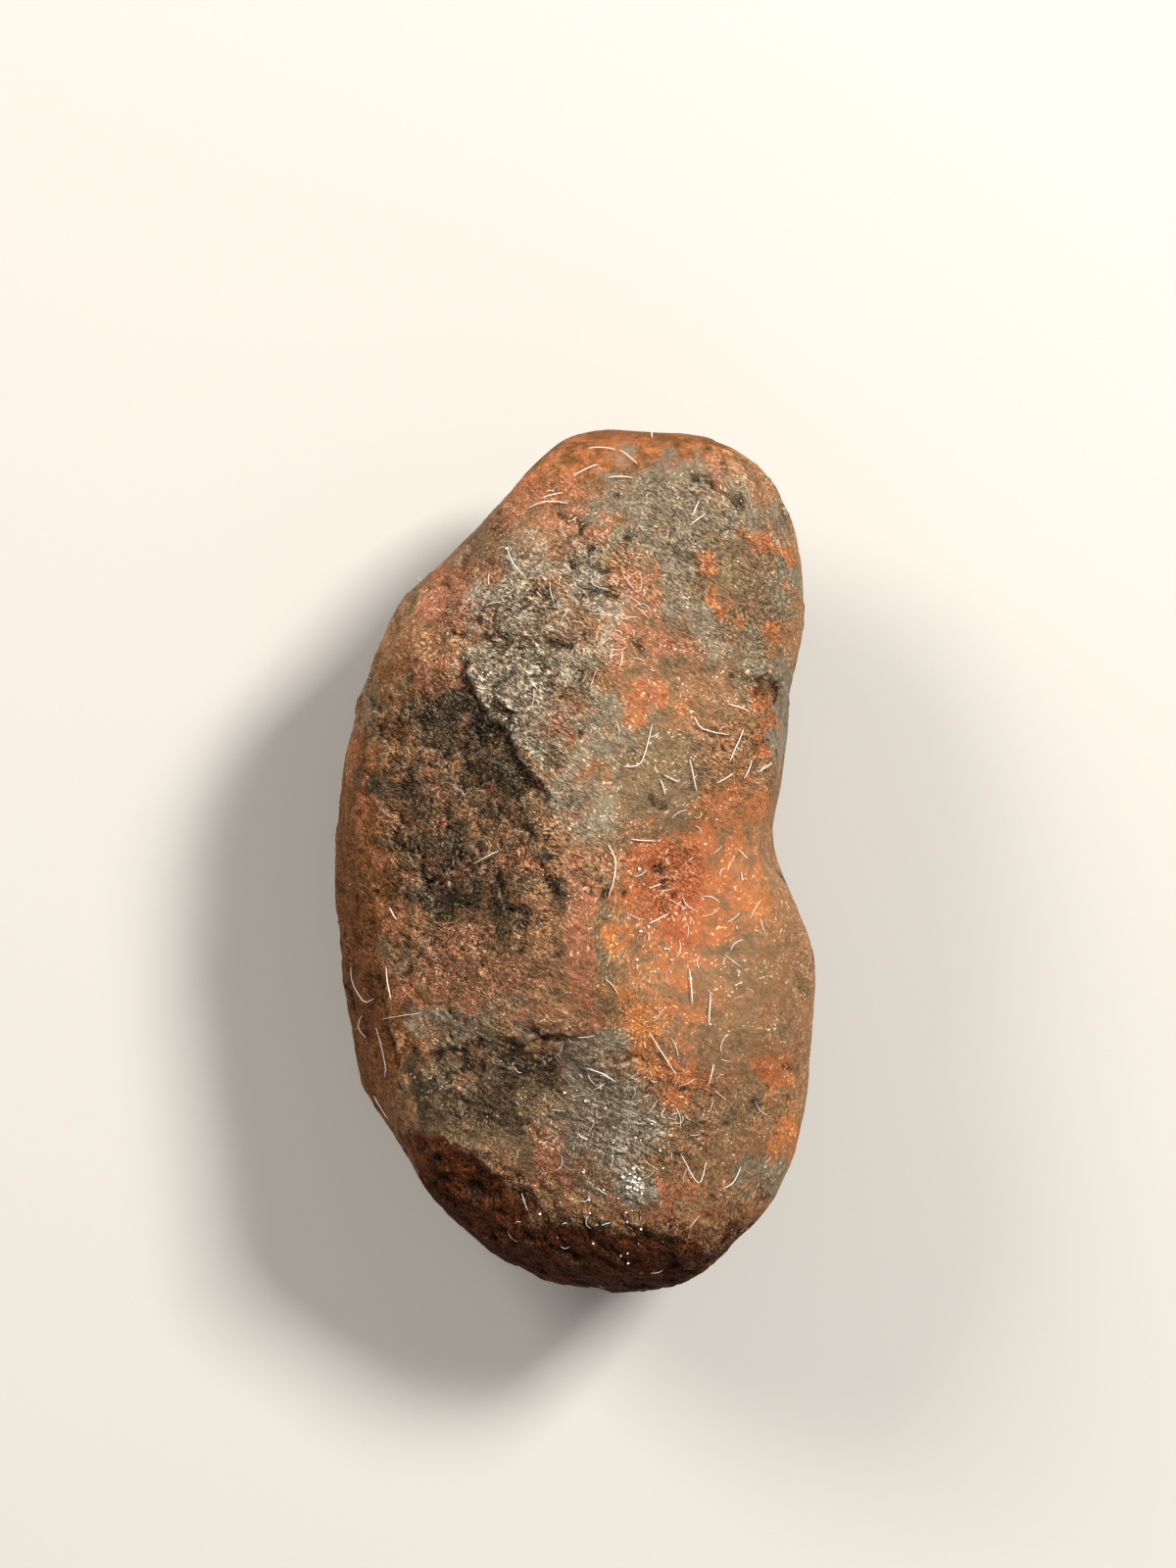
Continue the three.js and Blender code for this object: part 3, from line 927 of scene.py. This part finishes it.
class CrustSheet(NodeSheet):
    """The nodes of the crust's material, with the noises that its layers share."""

    def __init__(self, finish: CrustFinish) -> None:
        """Start the material with the noises, and the values that the mesh carries.

        Args:
            finish: The crust's finish.
        """
        super().__init__("crust")
        self.finish = finish
        place = self.place()
        swirl = self.shifted(place, 2.4, 1.9)
        bent = self.shifted(place, 1.0, 0.45)
        self.cloud = self.noise(place, 1.0, 5, 0.64)
        self.drift = self.noise(swirl, 0.8, 5, 0.64)
        self.speck = self.noise(swirl, 0.2, 3, 0.6)
        # Noise for the painted glints, the tiny bright specks.
        self.dust = self.noise(swirl, 0.09, 0, 0.5)
        self.folds = self.noise(self.streaked(bent, finish.lean, 1.8), 0.4, 3, 0.62, "RIDGED_MULTIFRACTAL")
        self.fine = self.noise(self.streaked(bent, finish.lean, 2.0), 0.16, 2, 0.7)
        self.slanting, upright = (
            self.noise(self.streaked(bent, lean, finish.grit_stretch), finish.grit_size, 1, 0.6)
            for lean in (finish.grit_lean, finish.upright_lean)
        )
        self.grit = self.blend(self.attribute("upright"), self.slanting, upright)
        self.rough = self.attribute("rough")
        self.harsh = self.span(self.rough, 0.1, 1.0, 0.22, 1.9)
        self.bright = self.span(self.attribute("dull"), 0.0, 0.8, 1.0, 0.0)

    def complete(self) -> bpy.types.Material:
        """Lay the layers over each other.

        Returns:
            The crust's material.
        """
        colour, roughness, metallic = self.stained(self.bare())
        colour = self.gritty(self.weathered(self.mottled(colour)))
        # Painted glints: tiny bright specks in the glint colour.
        spark = self.product(self.ease(self.dust, 0.69, 0.74), self.ease(self.drift, 0.44, 0.58), self.bright)
        return self.finished({
            "Base Color": self.mix(self.product(spark, 0.45), colour, self.finish.glint),
            "Roughness": self.blend(spark, roughness, self.finish.glint_roughness),
            "Metallic": metallic,
            "Specular IOR Level": self.finish.mirror,
            "Normal": self.relief(),
        })

    def bare(self) -> Socket:
        """Make the colour of the bare crust, in light and dark clouds with a little ash.

        Returns:
            The colour.
        """
        clouds = self.mix(self.ease(self.cloud, 0.38, 0.62), self.finish.base_dark, self.finish.base)
        ash = self.product(self.ease(self.drift, 0.52, 0.4), 0.6)
        return self.mix(ash, clouds, self.finish.ash)

    def stained(self, colour: Socket) -> tuple[Socket, Socket, Socket]:
        """Lay the stains over the crust, each broken up by one of two noises or its opposite.

        Args:
            colour: The bare crust's colour.

        Returns:
            The colour, the roughness and how metallic it is.
        """
        roughness = self.finish.roughness
        metallic = self.finish.metallic
        mottle = self.span(self.drift, 0.36, 0.64, 0.1, 0.9)
        for index, stain in enumerate(self.finish.stains):
            swing = -stain.ragged if index % 3 == 0 else stain.ragged
            rag = self.span((self.drift, self.cloud)[index % 2], 0.25, 0.75, -0.5 * swing, 0.5 * swing)
            weight = self.attribute(stain.stain.value)
            broken = self.ease(self.total(weight, rag), 0.05, 0.95)
            cover = self.product(self.ease(weight, 0.0, 0.35), broken)
            colour = self.mix(cover, colour, self.mix(mottle, stain.second_tone, stain.tone))
            roughness = self.blend(cover, roughness, stain.roughness)
            metallic = self.blend(cover, metallic, stain.metallic)
        return colour, roughness, metallic

    def mottled(self, colour: Socket) -> Socket:
        """Add glowing specks, and painted light and shade on the folds and the fine grain.

        Args:
            colour: The stained crust's colour.

        Returns:
            The mottled colour.
        """
        ember = self.product(self.ease(self.speck, 0.58, 0.7), self.ease(self.cloud, 0.48, 0.62), 0.3)
        colour = self.mix(ember, colour, self.finish.ember)
        colour = self.scaled(colour, self.span(self.speck, 0.3, 0.7, 0.87, 1.14))
        # Painted light and shade: the folds and the fine grain, which also tilt the surface, lighten and
        # darken the colour.
        lit = self.span(self.folds, 0.0, 0.2, 0.87, 1.22)
        colour = self.scaled(colour, self.blend(self.rough, 1.0, lit))
        fine_light_and_shade = self.span(self.fine, 0.36, 0.6, 0.52, 1.42)
        return self.scaled(colour, self.blend(self.rough, 1.0, fine_light_and_shade))

    def weathered(self, colour: Socket) -> Socket:
        """Add painted highlight streaks on the bright metal stain, painted shade in the gaps and painted
        highlights on the little crests.

        Args:
            colour: The mottled colour.

        Returns:
            The colour with its painted highlights and shade.
        """
        # Painted highlight streaks on the bright metal stain.
        shine = self.product(self.ease(self.fine, 0.5, 0.64), self.span(self.slanting, 0.36, 0.62, 0.3, 1.0))
        shine = self.product(shine, self.attribute(Stain.SILVER_SHEEN.value), 0.8)
        colour = self.mix(shine, colour, self.finish.worn)
        # Painted shade in hollows, slits, cracks, pits and below sharp ridges.
        hollow_shade = self.product(self.ease(self.attribute("crevice_shade"), 0.12, 1.0), 0.8)
        colour = self.mix(hollow_shade, colour, self.finish.gap)
        # Painted highlights on the little crests.
        crests = self.product(self.ease(self.attribute("worn"), 0.2, 1.0), self.ease(self.speck, 0.4, 0.62))
        crests = self.product(crests, self.span(self.bright, 0.0, 1.0, 0.04, 0.25))
        return self.mix(crests, colour, self.finish.worn)

    def gritty(self, colour: Socket) -> Socket:
        """Darken the pores between the grains, and brighten the grains, partly as painted glints.

        Args:
            colour: The colour with its painted highlights and shade.

        Returns:
            The gritty colour.
        """
        pores = self.blend(self.harsh, 1.0, self.span(self.grit, 0.36, 0.5, 0.45, 1.0))
        fleck_and_glint = self.product(self.ease(self.grit, 0.5, 0.72), self.harsh)
        colour = self.scaled(self.scaled(colour, pores), self.span(fleck_and_glint, 0.0, 1.9, 1.0, 2.3))
        # Pale mix on the bright grains: painted glints where the crust isn't dull.
        pale = self.product(fleck_and_glint, self.span(self.bright, 0.0, 1.0, 0.015, 0.14))
        return self.mix(pale, colour, self.finish.fleck_and_glint)

    def relief(self) -> Socket:
        """Tilt the surface by the folds, the fine grain and the grit.

        Returns:
            The tilted normal.
        """
        tilt = {}
        layers = ((self.folds, self.rough, 0.3), (self.fine, self.rough, 0.25), (self.grit, self.harsh, 0.06))
        for height, share, depth in layers:
            feeds = {"Height": self.product(height, share), "Strength": 1.0, "Distance": depth * MM}
            tilt = {"Normal": self.add("Bump", feeds | tilt, "Normal")}
        return tilt["Normal"]


@dataclass
class Meteorite:
    """The lump itself: the solid's form with its fine relief and its stained crust."""

    squares_wide: int = 110
    squares_long: int = 198
    squares_high: int = 84
    smoothing_passes: int = 9
    finish: CrustFinish = CrustFinish()

    def build(self, node: bpy.types.Object) -> tuple[bpy.types.Object, CrustField]:
        """Build the meteorite over its plain solid.

        Args:
            node: The plain solid.

        Returns:
            The piece, and what varies over its crust.
        """
        mesh = self.smoothed(self.wrapped(node))
        normals = self.vectors(mesh.vertex_normals, "vector")
        crust = CrustField(self.vectors(mesh.vertices, "co") / MM, normals)
        crust.roughen()
        crust.add_swells()
        crust.add_chips()
        crust.add_wrinkles()
        crust.add_crests()
        crust.add_cracks()
        crust.add_pits()
        crust.add_grain()
        crust.calm_the_rim()
        crust.paint_shade_and_highlight(mesh)
        crust.flatten_the_spot()
        crust.paint()
        shaped = crust.points + normals * crust.height[:, None]
        shaped[:, 2] = np.maximum(shaped[:, 2], 0.0)
        mesh.vertices.foreach_set("co", (shaped * MM).astype(np.float32).ravel())
        self.carry(mesh, crust)
        mesh.update()
        crust.points = shaped
        crust.normals = self.vectors(mesh.vertex_normals, "vector")
        mesh.shade_smooth()
        mesh.materials.append(CrustSheet(self.finish).complete())
        return put("meteorite_crust", mesh), crust

    def wrapped(self, node: bpy.types.Object) -> bpy.types.Mesh:
        """Wrap an even net of squares round the solid.

        Args:
            node: The plain solid, which every line from its heart meets once.

        Returns:
            The net as a mesh.
        """
        corners = [vertex.co for vertex in node.data.vertices]
        solid = BVHTree.FromPolygons(corners, [face.vertices for face in node.data.polygons])
        low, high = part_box(CAD_NODE)
        heart = (low + high) / 2
        reach = (high - low).length
        directions, faces = self.net()
        stretched = directions * np.array(high - low)
        stretched /= np.linalg.norm(stretched, axis=1)[:, None]
        points = [solid.ray_cast(heart + Vector(way) * reach, -Vector(way))[0] for way in stretched]
        mesh = bpy.data.meshes.new("crust_net")
        mesh.from_pydata(points, [], faces.tolist())
        mesh.update()
        return mesh

    def net(self) -> tuple[np.ndarray, np.ndarray]:
        """Lay an even net of squares over a ball, as a cube's six sides blown up.

        Returns:
            The unit directions of the net's points, and its squares as four point numbers each.
        """
        wide, long, high = (
            np.tan(np.linspace(-math.pi / 4, math.pi / 4, count + 1))
            for count in (self.squares_wide, self.squares_long, self.squares_high)
        )
        points = []
        squares = []
        for axis, (first, second) in enumerate(((long, high), (high, wide), (wide, long))):
            for side in (1.0, -1.0):
                rise, run = np.meshgrid(first, second, indexing="ij")
                out = np.full_like(rise, side)
                places = np.stack((out, rise, run), axis=-1)
                start = sum(len(part) for part in points)
                points.append(np.roll(places, axis, axis=-1).reshape(-1, 3))
                corner = start + np.arange(rise.size).reshape(rise.shape)
                loop = [corner[:-1, :-1], corner[1:, :-1], corner[1:, 1:], corner[:-1, 1:]]
                if side < 0:
                    loop.reverse()
                squares.append(np.stack(loop, axis=-1).reshape(-1, 4))
        places = np.concatenate(points)
        _, keep, back = np.unique(np.round(places, 6), axis=0, return_index=True, return_inverse=True)
        directions = places[keep] / np.linalg.norm(places[keep], axis=1)[:, None]
        return directions, back.reshape(-1)[np.concatenate(squares)]

    def smoothed(self, mesh: bpy.types.Mesh) -> bpy.types.Mesh:
        """Ease out the solid's small flat faces.

        Args:
            mesh: The wrapped net.

        Returns:
            The eased mesh.
        """
        carrier = put("crust_draft", mesh)
        ease = carrier.modifiers.new("ease", "SMOOTH")
        ease.factor = 0.5
        ease.iterations = self.smoothing_passes
        view = bpy.context.evaluated_depsgraph_get()
        eased = bpy.data.meshes.new_from_object(carrier.evaluated_get(view))
        bpy.data.objects.remove(carrier)
        return eased

    @staticmethod
    def vectors(rows: bpy.types.bpy_prop_collection, name: str) -> np.ndarray:
        """Read one vector a row from a mesh's points or normals.

        Args:
            rows: The points or the normals.
            name: Which value of theirs is read.

        Returns:
            The vectors, one row each.
        """
        values = np.empty(len(rows) * 3)
        rows.foreach_get(name, values)
        return values.reshape(-1, 3)

    @staticmethod
    def carry(mesh: bpy.types.Mesh, crust: CrustField) -> None:
        """Store the crust's values on the mesh for its material.

        Args:
            mesh: The mesh.
            crust: The values.
        """
        layers = {stain.value: weight for stain, weight in crust.stains.items()}
        layers |= {"crevice_shade": crust.crevice_shade, "worn": crust.worn, "rough": crust.scaly}
        layers |= {"upright": crust.upright(), "dull": crust.dull()}
        for name, values in layers.items():
            layer = mesh.attributes.new(name, "FLOAT", "POINT")
            layer.data.foreach_set("value", values.astype(np.float32))


@dataclass(frozen=True)
class Fibre:
    """One hair of lint over the crust, through points of the plan."""

    path: Route
    lift: float = 0.12
    thickness: float = 0.032


@dataclass(frozen=True)
class Scatter:
    """A place of the plan round which many small things are scattered."""

    x: float
    y: float
    spread_x: float
    spread_y: float
    count: int
    sizes: tuple[float, float]

    def place(self, draw: random.Random) -> tuple[float, float]:
        """Draw one place."""
        return draw.gauss(self.x, self.spread_x), draw.gauss(self.y, self.spread_y)


@dataclass(frozen=True)
class Flake:
    """One crumb of pale dust on the crust."""

    x: float
    y: float
    size: float


# Hairs placed one by one as the photograph shows them, the finer ones with their own lift and thickness.
FIBRES = (
    Fibre(((2.65, 4.74), (2.28, 3.45), (1.7, 3.28))),
    Fibre(((4.08, 4.98), (4.39, 4.57), (5.24, 4.37))),
    Fibre(((1.12, 0.66), (1.36, -0.02), (1.16, -1.21))),
    Fibre(((-3.37, -0.02), (-2.55, 0.39))),
    Fibre(((3.91, -3.59), (4.01, -4.78))),
    Fibre(((4.62, -4.44), (4.56, -5.46))),
    Fibre(((-2.24, 10.69), (-2.01, 10.18), (-1.67, 9.78))),
    Fibre(((-1.56, 12.12), (-0.88, 12.33), (-0.2, 12.29))),
    Fibre(((-1.12, 12.46), (-0.37, 12.67))),
    Fibre(((0.48, 14.2), (1.43, 14.16))),
    Fibre(((1.56, 14.16), (2.18, 13.65))),
    Fibre(((-0.03, 13.24), (0.82, 13.65))),
    Fibre(((1.16, 13.18), (2.01, 13.18))),
    Fibre(((3.94, 11.54), (4.49, 11.95))),
    Fibre(((4.05, 11.88), (4.28, 12.39))),
    Fibre(((2.69, 14.95), (2.69, 14.6))),
    Fibre(((1.9, 0.83), (2.75, 0.77))),
    Fibre(((2.52, -2.06), (3.2, -1.72))),
    Fibre(((3.64, -9.88), (4.22, -10.9), (4.49, -10.22))),
    Fibre(((5.07, -11.14), (5.41, -10.9), (5.68, -10.39))),
    Fibre(((0.41, -6.92), (0.99, -7.06), (1.43, -7.4))),
    Fibre(((2.58, -5.73), (3.47, -7.16))),
    Fibre(((4.56, -7.5), (4.73, -6.82))),
    Fibre(((-7.7, -3.6), (-7.6, -4.2), (-7.2, -4.8), (-6.9, -4.7)), 0.08, 0.024),
    Fibre(((-7.3, -5.3), (-7.4, -5.7), (-7.15, -6.1)), 0.08, 0.022),
    Fibre(((-6.8, -5.7), (-6.6, -6.3), (-6.45, -7.0), (-6.5, -7.4)), 0.06, 0.022),
    Fibre(((-6.9, -8.1), (-6.6, -8.5), (-6.4, -8.9)), 0.1, 0.026),
    Fibre(((-6.6, -5.4), (-5.9, -5.25), (-5.2, -5.15)), 0.06, 0.018),
    Fibre(((-6.32, -1.55), (-6.05, -1.96))),
    Fibre(((-6.43, -3.59), (-6.26, -4.71))),
    Fibre(((5.24, 5.42), (5.92, 5.19))),
    Fibre(((5.75, 4.57), (5.27, 3.45))),
    Fibre(((3.03, 3.01), (3.54, 2.77))),
    Fibre(((2.92, 2.87), (3.09, 2.33))),
    Fibre(((3.91, 3.55), (4.15, 2.43))),
    Fibre(((5.41, 3.08), (4.83, 2.74))),
    Fibre(((6.02, 3.45), (5.78, 2.87))),
    Fibre(((6.73, 3.45), (6.26, 3.11))),
    Fibre(((2.58, -0.83), (2.92, -0.7))),
)

# Rows of a scatter: x, y, spread across, spread along, how many, and their least and greatest length or size.
THICKETS = (
    Scatter(4.2, -3.0, 1.5, 3.0, 46, (0.15, 0.75)),
    Scatter(1.5, -8.5, 1.8, 1.5, 44, (0.15, 0.75)),
    Scatter(0.5, 8.0, 1.7, 2.0, 40, (0.15, 0.75)),
    Scatter(0.6, -13.2, 3.2, 0.9, 18, (0.15, 0.6)),
)

DUST = (
    Scatter(1.5, 0.0, 3.4, 7.0, 110, (0.025, 0.065)),
    Scatter(1.2, -10.0, 1.2, 1.6, 45, (0.04, 0.1)),
    Scatter(2.05, -10.9, 0.16, 0.3, 26, (0.06, 0.15)),
)

FLAKES = (
    Flake(-2.28, 10.73, 0.14),
    Flake(3.88, 8.82, 0.08),
    Flake(2.18, -0.19, 0.13),
    Flake(2.35, -0.7, 0.08),
    Flake(4.62, -5.46, 0.1),
    Flake(3.2, -2.91, 0.1),
    Flake(2.11, -3.25, 0.12),
    Flake(2.24, -2.3, 0.12),
    Flake(3.09, -2.91, 0.1),
    Flake(1.7, 3.28, 0.06),
    Flake(2.58, -0.83, 0.1),
)


@dataclass(frozen=True)
class LintFinish:
    """Thin white lint that lets a little light through."""

    tone: Tone = Tone(250, 246, 236)
    roughness: float = 0.6
    glow: float = 0.3
    glow_depth: float = 0.03

    def material(self) -> bpy.types.Material:
        """Build the lint's material.

        Returns:
            The material.
        """
        return NodeSheet("lint").finished({
            "Base Color": self.tone,
            "Roughness": self.roughness,
            "Subsurface Weight": self.glow,
            "Subsurface Radius": (1.0, 0.9, 0.8),
            "Subsurface Scale": self.glow_depth * MM,
        })


@dataclass
class Bed:
    """The upward side of the crust, where lint can lie."""

    crust: CrustField
    least_rise: float = 0.02
    edge: float = 0.3
    neighbours: int = 6
    closest: float = 0.02
    places: np.ndarray = field(init=False)
    normals: np.ndarray = field(init=False)
    plan: KDTree = field(init=False)

    def __post_init__(self) -> None:
        """Sort the crust's upward points by their place in the plan."""
        upward = self.crust.normals[:, 2] > self.least_rise
        self.places = self.crust.points[upward]
        self.normals = self.crust.normals[upward]
        self.plan = KDTree(len(self.places))
        for index, place in enumerate(self.places):
            self.plan.insert((place[0], place[1], 0.0), index)
        self.plan.balance()

    def spot(self, x: float, y: float) -> tuple[np.ndarray, np.ndarray] | None:
        """Find the crust under a point of the plan.

        Args:
            x: The point's x, in millimetres.
            y: The point's y, in millimetres.

        Returns:
            The place on the crust and its normal, or None beyond the crust's edge.
        """
        found = self.plan.find_n((x, y, 0.0), self.neighbours)
        if found[0][2] > self.edge:
            return None
        near = [index for _, index, _ in found]
        share = np.array([1.0 / (distance + self.closest) for _, _, distance in found])
        share /= share.sum()
        normal = share @ self.normals[near]
        return np.array((x, y, share @ self.places[near, 2])), normal / np.linalg.norm(normal)


@dataclass
class Lint:
    """The hairs and crumbs of lint that cling to the crust, as one mesh."""

    steps: int = 9
    sides: int = 5
    legs: int = 3
    bend: float = 0.35
    stray_lift: tuple[float, float] = (0.02, 0.1)
    stray_thickness: tuple[float, float] = (0.012, 0.022)
    tip_thickness: float = 0.4
    crumb_seat: float = 0.4
    crumb_reach: tuple[float, float] = (0.5, 1.4)
    finish: LintFinish = LintFinish()
    draw: random.Random = field(default_factory=lambda: random.Random(7))
    points: list[tuple[float, float, float]] = field(default_factory=list)
    faces: list[tuple[int, ...]] = field(default_factory=list)

    def build(self, bed: Bed) -> bpy.types.Object:
        """Build all the lint as one piece.

        Args:
            bed: The crust that the lint lies on.

        Returns:
            The piece.
        """
        for fibre in (*FIBRES, *self.stray()):
            self.add_fibre(fibre, bed)
        for flake in (*FLAKES, *self.crumbs()):
            self.add_flake(flake, bed)
        mesh = bpy.data.meshes.new("lint")
        mesh.from_pydata([tuple(part * MM for part in point) for point in self.points], [], self.faces)
        mesh.update()
        mesh.shade_smooth()
        mesh.materials.append(self.finish.material())
        return put("lint", mesh)

    def stray(self) -> list[Fibre]:
        """Scatter the many short hairs.

        Returns:
            The hairs, each a path of legs that bends one way.
        """
        draw = self.draw
        hairs = []
        for thicket in THICKETS:
            for _ in range(thicket.count):
                x, y = thicket.place(draw)
                turn = draw.uniform(0.0, 2.0 * math.pi)
                leg = draw.uniform(*thicket.sizes) / self.legs
                bend = draw.gauss(0.0, self.bend)
                path = [(x, y)]
                for _ in range(self.legs):
                    x += math.cos(turn) * leg
                    y += math.sin(turn) * leg
                    turn += bend
                    path.append((x, y))
                lift = draw.uniform(*self.stray_lift)
                hairs.append(Fibre(tuple(path), lift, draw.uniform(*self.stray_thickness)))
        return hairs

    def crumbs(self) -> list[Flake]:
        """Scatter the tiny crumbs of dust."""
        places = (dust for dust in DUST for _ in range(dust.count))
        return [Flake(*dust.place(self.draw), self.draw.uniform(*dust.sizes)) for dust in places]

    def add_fibre(self, fibre: Fibre, bed: Bed) -> None:
        """Lay one hair over the crust in a low arch, unless it would hang over the edge.

        Args:
            fibre: The hair.
            bed: The crust under it.
        """
        corners = np.array(fibre.path)
        arch = fibre.lift * self.draw.uniform(0.5, 1.0)
        line = []
        for share in np.linspace(0.0, 1.0, self.steps):
            spot = bed.spot(*self.curve(corners, share * (len(corners) - 1)))
            if spot is None:
                return
            place, normal = spot
            line.append(place + normal * (fibre.thickness + arch * math.sin(math.pi * (share * 0.8 + 0.1))))
        self.add_tube(line, fibre.thickness / 2)

    @staticmethod
    def curve(corners: np.ndarray, station: float) -> np.ndarray:
        """Find a point on the smooth curve through a path's corners.

        Args:
            corners: The corners, one row each.
            station: How far along it is, in corners.

        Returns:
            The point.
        """
        last = len(corners) - 1
        index = min(int(station), last - 1)
        share = station - index
        before, start, end, after = (corners[min(max(index + step, 0), last)] for step in (-1, 0, 1, 2))
        return 0.5 * (
            2.0 * start
            + (end - before) * share
            + (2.0 * before - 5.0 * start + 4.0 * end - after) * share**2
            + (3.0 * start - before - 3.0 * end + after) * share**3
        )

    def add_tube(self, line: list[np.ndarray], radius: float) -> None:
        """Add a closed tube along a line, with thinner tips.

        Args:
            line: The line's points, in millimetres.
            radius: The tube's radius at its middle, in millimetres.
        """
        start = len(self.points)
        last = len(line) - 1
        for number, place in enumerate(line):
            way = line[min(number + 1, last)] - line[max(number - 1, 0)]
            across = np.cross(way, (0.0, 0.0, 1.0))
            across /= np.linalg.norm(across)
            over = np.cross(across, way / np.linalg.norm(way))
            belly = math.sin(math.pi * number / last) ** 0.5
            reach = radius * (self.tip_thickness + (1.0 - self.tip_thickness) * belly)
            for angle in np.linspace(0.0, 2.0 * math.pi, self.sides, endpoint=False):
                self.points.append(tuple(place + reach * (math.cos(angle) * across + math.sin(angle) * over)))
        for low in range(start, start + last * self.sides, self.sides):
            for side in range(self.sides):
                turn = (side + 1) % self.sides
                self.faces.append((low + side, low + turn, low + self.sides + turn, low + self.sides + side))
        self.faces.append(tuple(range(start, start + self.sides))[::-1])
        self.faces.append(tuple(range(len(self.points) - self.sides, len(self.points))))

    def add_flake(self, flake: Flake, bed: Bed) -> None:
        """Drop one crumb on the crust as a small uneven lump of eight faces.

        Args:
            flake: The crumb.
            bed: The crust under it.
        """
        spot = bed.spot(flake.x, flake.y)
        if spot is None:
            return
        place, normal = spot
        heart = place + normal * flake.size * self.crumb_seat
        start = len(self.points)
        for axis in range(3):
            for side in (0.5, -0.5):
                tip = heart.copy()
                tip[axis] += side * flake.size * self.draw.uniform(*self.crumb_reach)
                self.points.append(tuple(tip))
        east, west, north, south, top, bottom = range(start, start + 6)
        ring = (east, north, west, south)
        for first, second in zip(ring, ring[1:] + ring[:1]):
            self.faces.append((first, second, top))
            self.faces.append((second, first, bottom))


@dataclass(frozen=True)
class Lamp:
    """A soft square light that faces the meteorite."""

    name: str
    place: tuple[float, float, float]
    size: float
    power: float
    tone: Tone


LAMPS = (
    Lamp("key", (212, 165, 255), 90, 2.25, Tone(255, 251, 244)),
    Lamp("fill", (-230, 210, 210), 150, 1.28, Tone(255, 248, 240)),
    Lamp("low_fill", (160, -300, 220), 300, 0.13, Tone(255, 246, 236)),
)


@dataclass(frozen=True)
class StudioSetup:
    """The pale floor, the soft lights and the camera that looks straight down."""

    aim_x: float = 0.48
    aim_y: float = 2.7
    plane: float = 6.0
    distance: float = 240.0
    frame_height: float = 54.4
    sensor: float = 36.0
    nearest: float = 0.01
    floor_half: float = 600.0
    floor_colour: tuple[float, float, float, float] = (0.5, 0.485, 0.46, 1.0)
    floor_roughness: float = 0.7
    room_colour: tuple[float, float, float, float] = (1.0, 0.98, 0.95, 1.0)
    room_strength: float = 0.24

    def camera(self) -> None:
        """Stand the camera over the meteorite, looking straight down."""
        data = bpy.data.cameras.new("camera")
        data.sensor_fit = "VERTICAL"
        data.sensor_height = self.sensor
        data.sensor_width = self.sensor
        data.lens = self.sensor * self.distance / self.frame_height
        data.clip_start = self.nearest
        camera = put("camera", data)
        camera.location = Vector((self.aim_x, self.aim_y, self.plane + self.distance)) * MM
        bpy.context.scene.camera = camera

    def floor(self) -> bpy.types.Object:
        """Lay the pale floor.

        Returns:
            The floor.
        """
        half = self.floor_half * MM
        mesh = bpy.data.meshes.new("floor")
        corners = [(-half, -half, 0), (half, -half, 0), (half, half, 0), (-half, half, 0)]
        mesh.from_pydata(corners, [], [(0, 1, 2, 3)])
        finish = {"Base Color": self.floor_colour, "Roughness": self.floor_roughness}
        mesh.materials.append(NodeSheet("floor").finished(finish))
        return put("floor", mesh)

    def lights(self) -> None:
        """Hang the lamps, aimed at the meteorite, and set the even light of the room."""
        for lamp in LAMPS:
            data = bpy.data.lights.new(lamp.name, "AREA")
            data.size = lamp.size * MM
            data.energy = lamp.power
            data.color = lamp.tone.linear()[:3]
            light = put(lamp.name, data)
            light.location = Vector(lamp.place) * MM
            aim = Vector((0.0, 0.0, self.plane * MM)) - light.location
            light.rotation_euler = aim.to_track_quat("-Z", "Y").to_euler()
        world = bpy.data.worlds.new("room")
        world.use_nodes = True
        backdrop = world.node_tree.nodes["Background"]
        backdrop.inputs["Color"].default_value = self.room_colour
        backdrop.inputs["Strength"].default_value = self.room_strength
        bpy.context.scene.world = world

    def colours(self) -> None:
        """Show colours as they are, with no film look."""
        bpy.context.scene.view_settings.view_transform = "Standard"


def report(piece: bpy.types.Object) -> None:
    """Log how large a piece's mesh is."""
    log.info("%s: %d points, %d faces", piece.name, len(piece.data.vertices), len(piece.data.polygons))


def main() -> None:
    """Build the camera, the meteorite, its lint and the studio, and hand the pieces to the frame."""
    logging.basicConfig(level=logging.INFO, format="%(name)s: %(message)s")
    studio = StudioSetup()
    studio.camera()
    piece, crust = Meteorite().build(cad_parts[CAD_NODE])
    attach(piece, "root")
    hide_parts(CAD_NODE)
    report(piece)
    lint = Lint().build(Bed(crust))
    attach(lint, "root")
    report(lint)
    studio.floor()
    studio.lights()
    studio.colours()


if __name__ == "__main__":
    main()
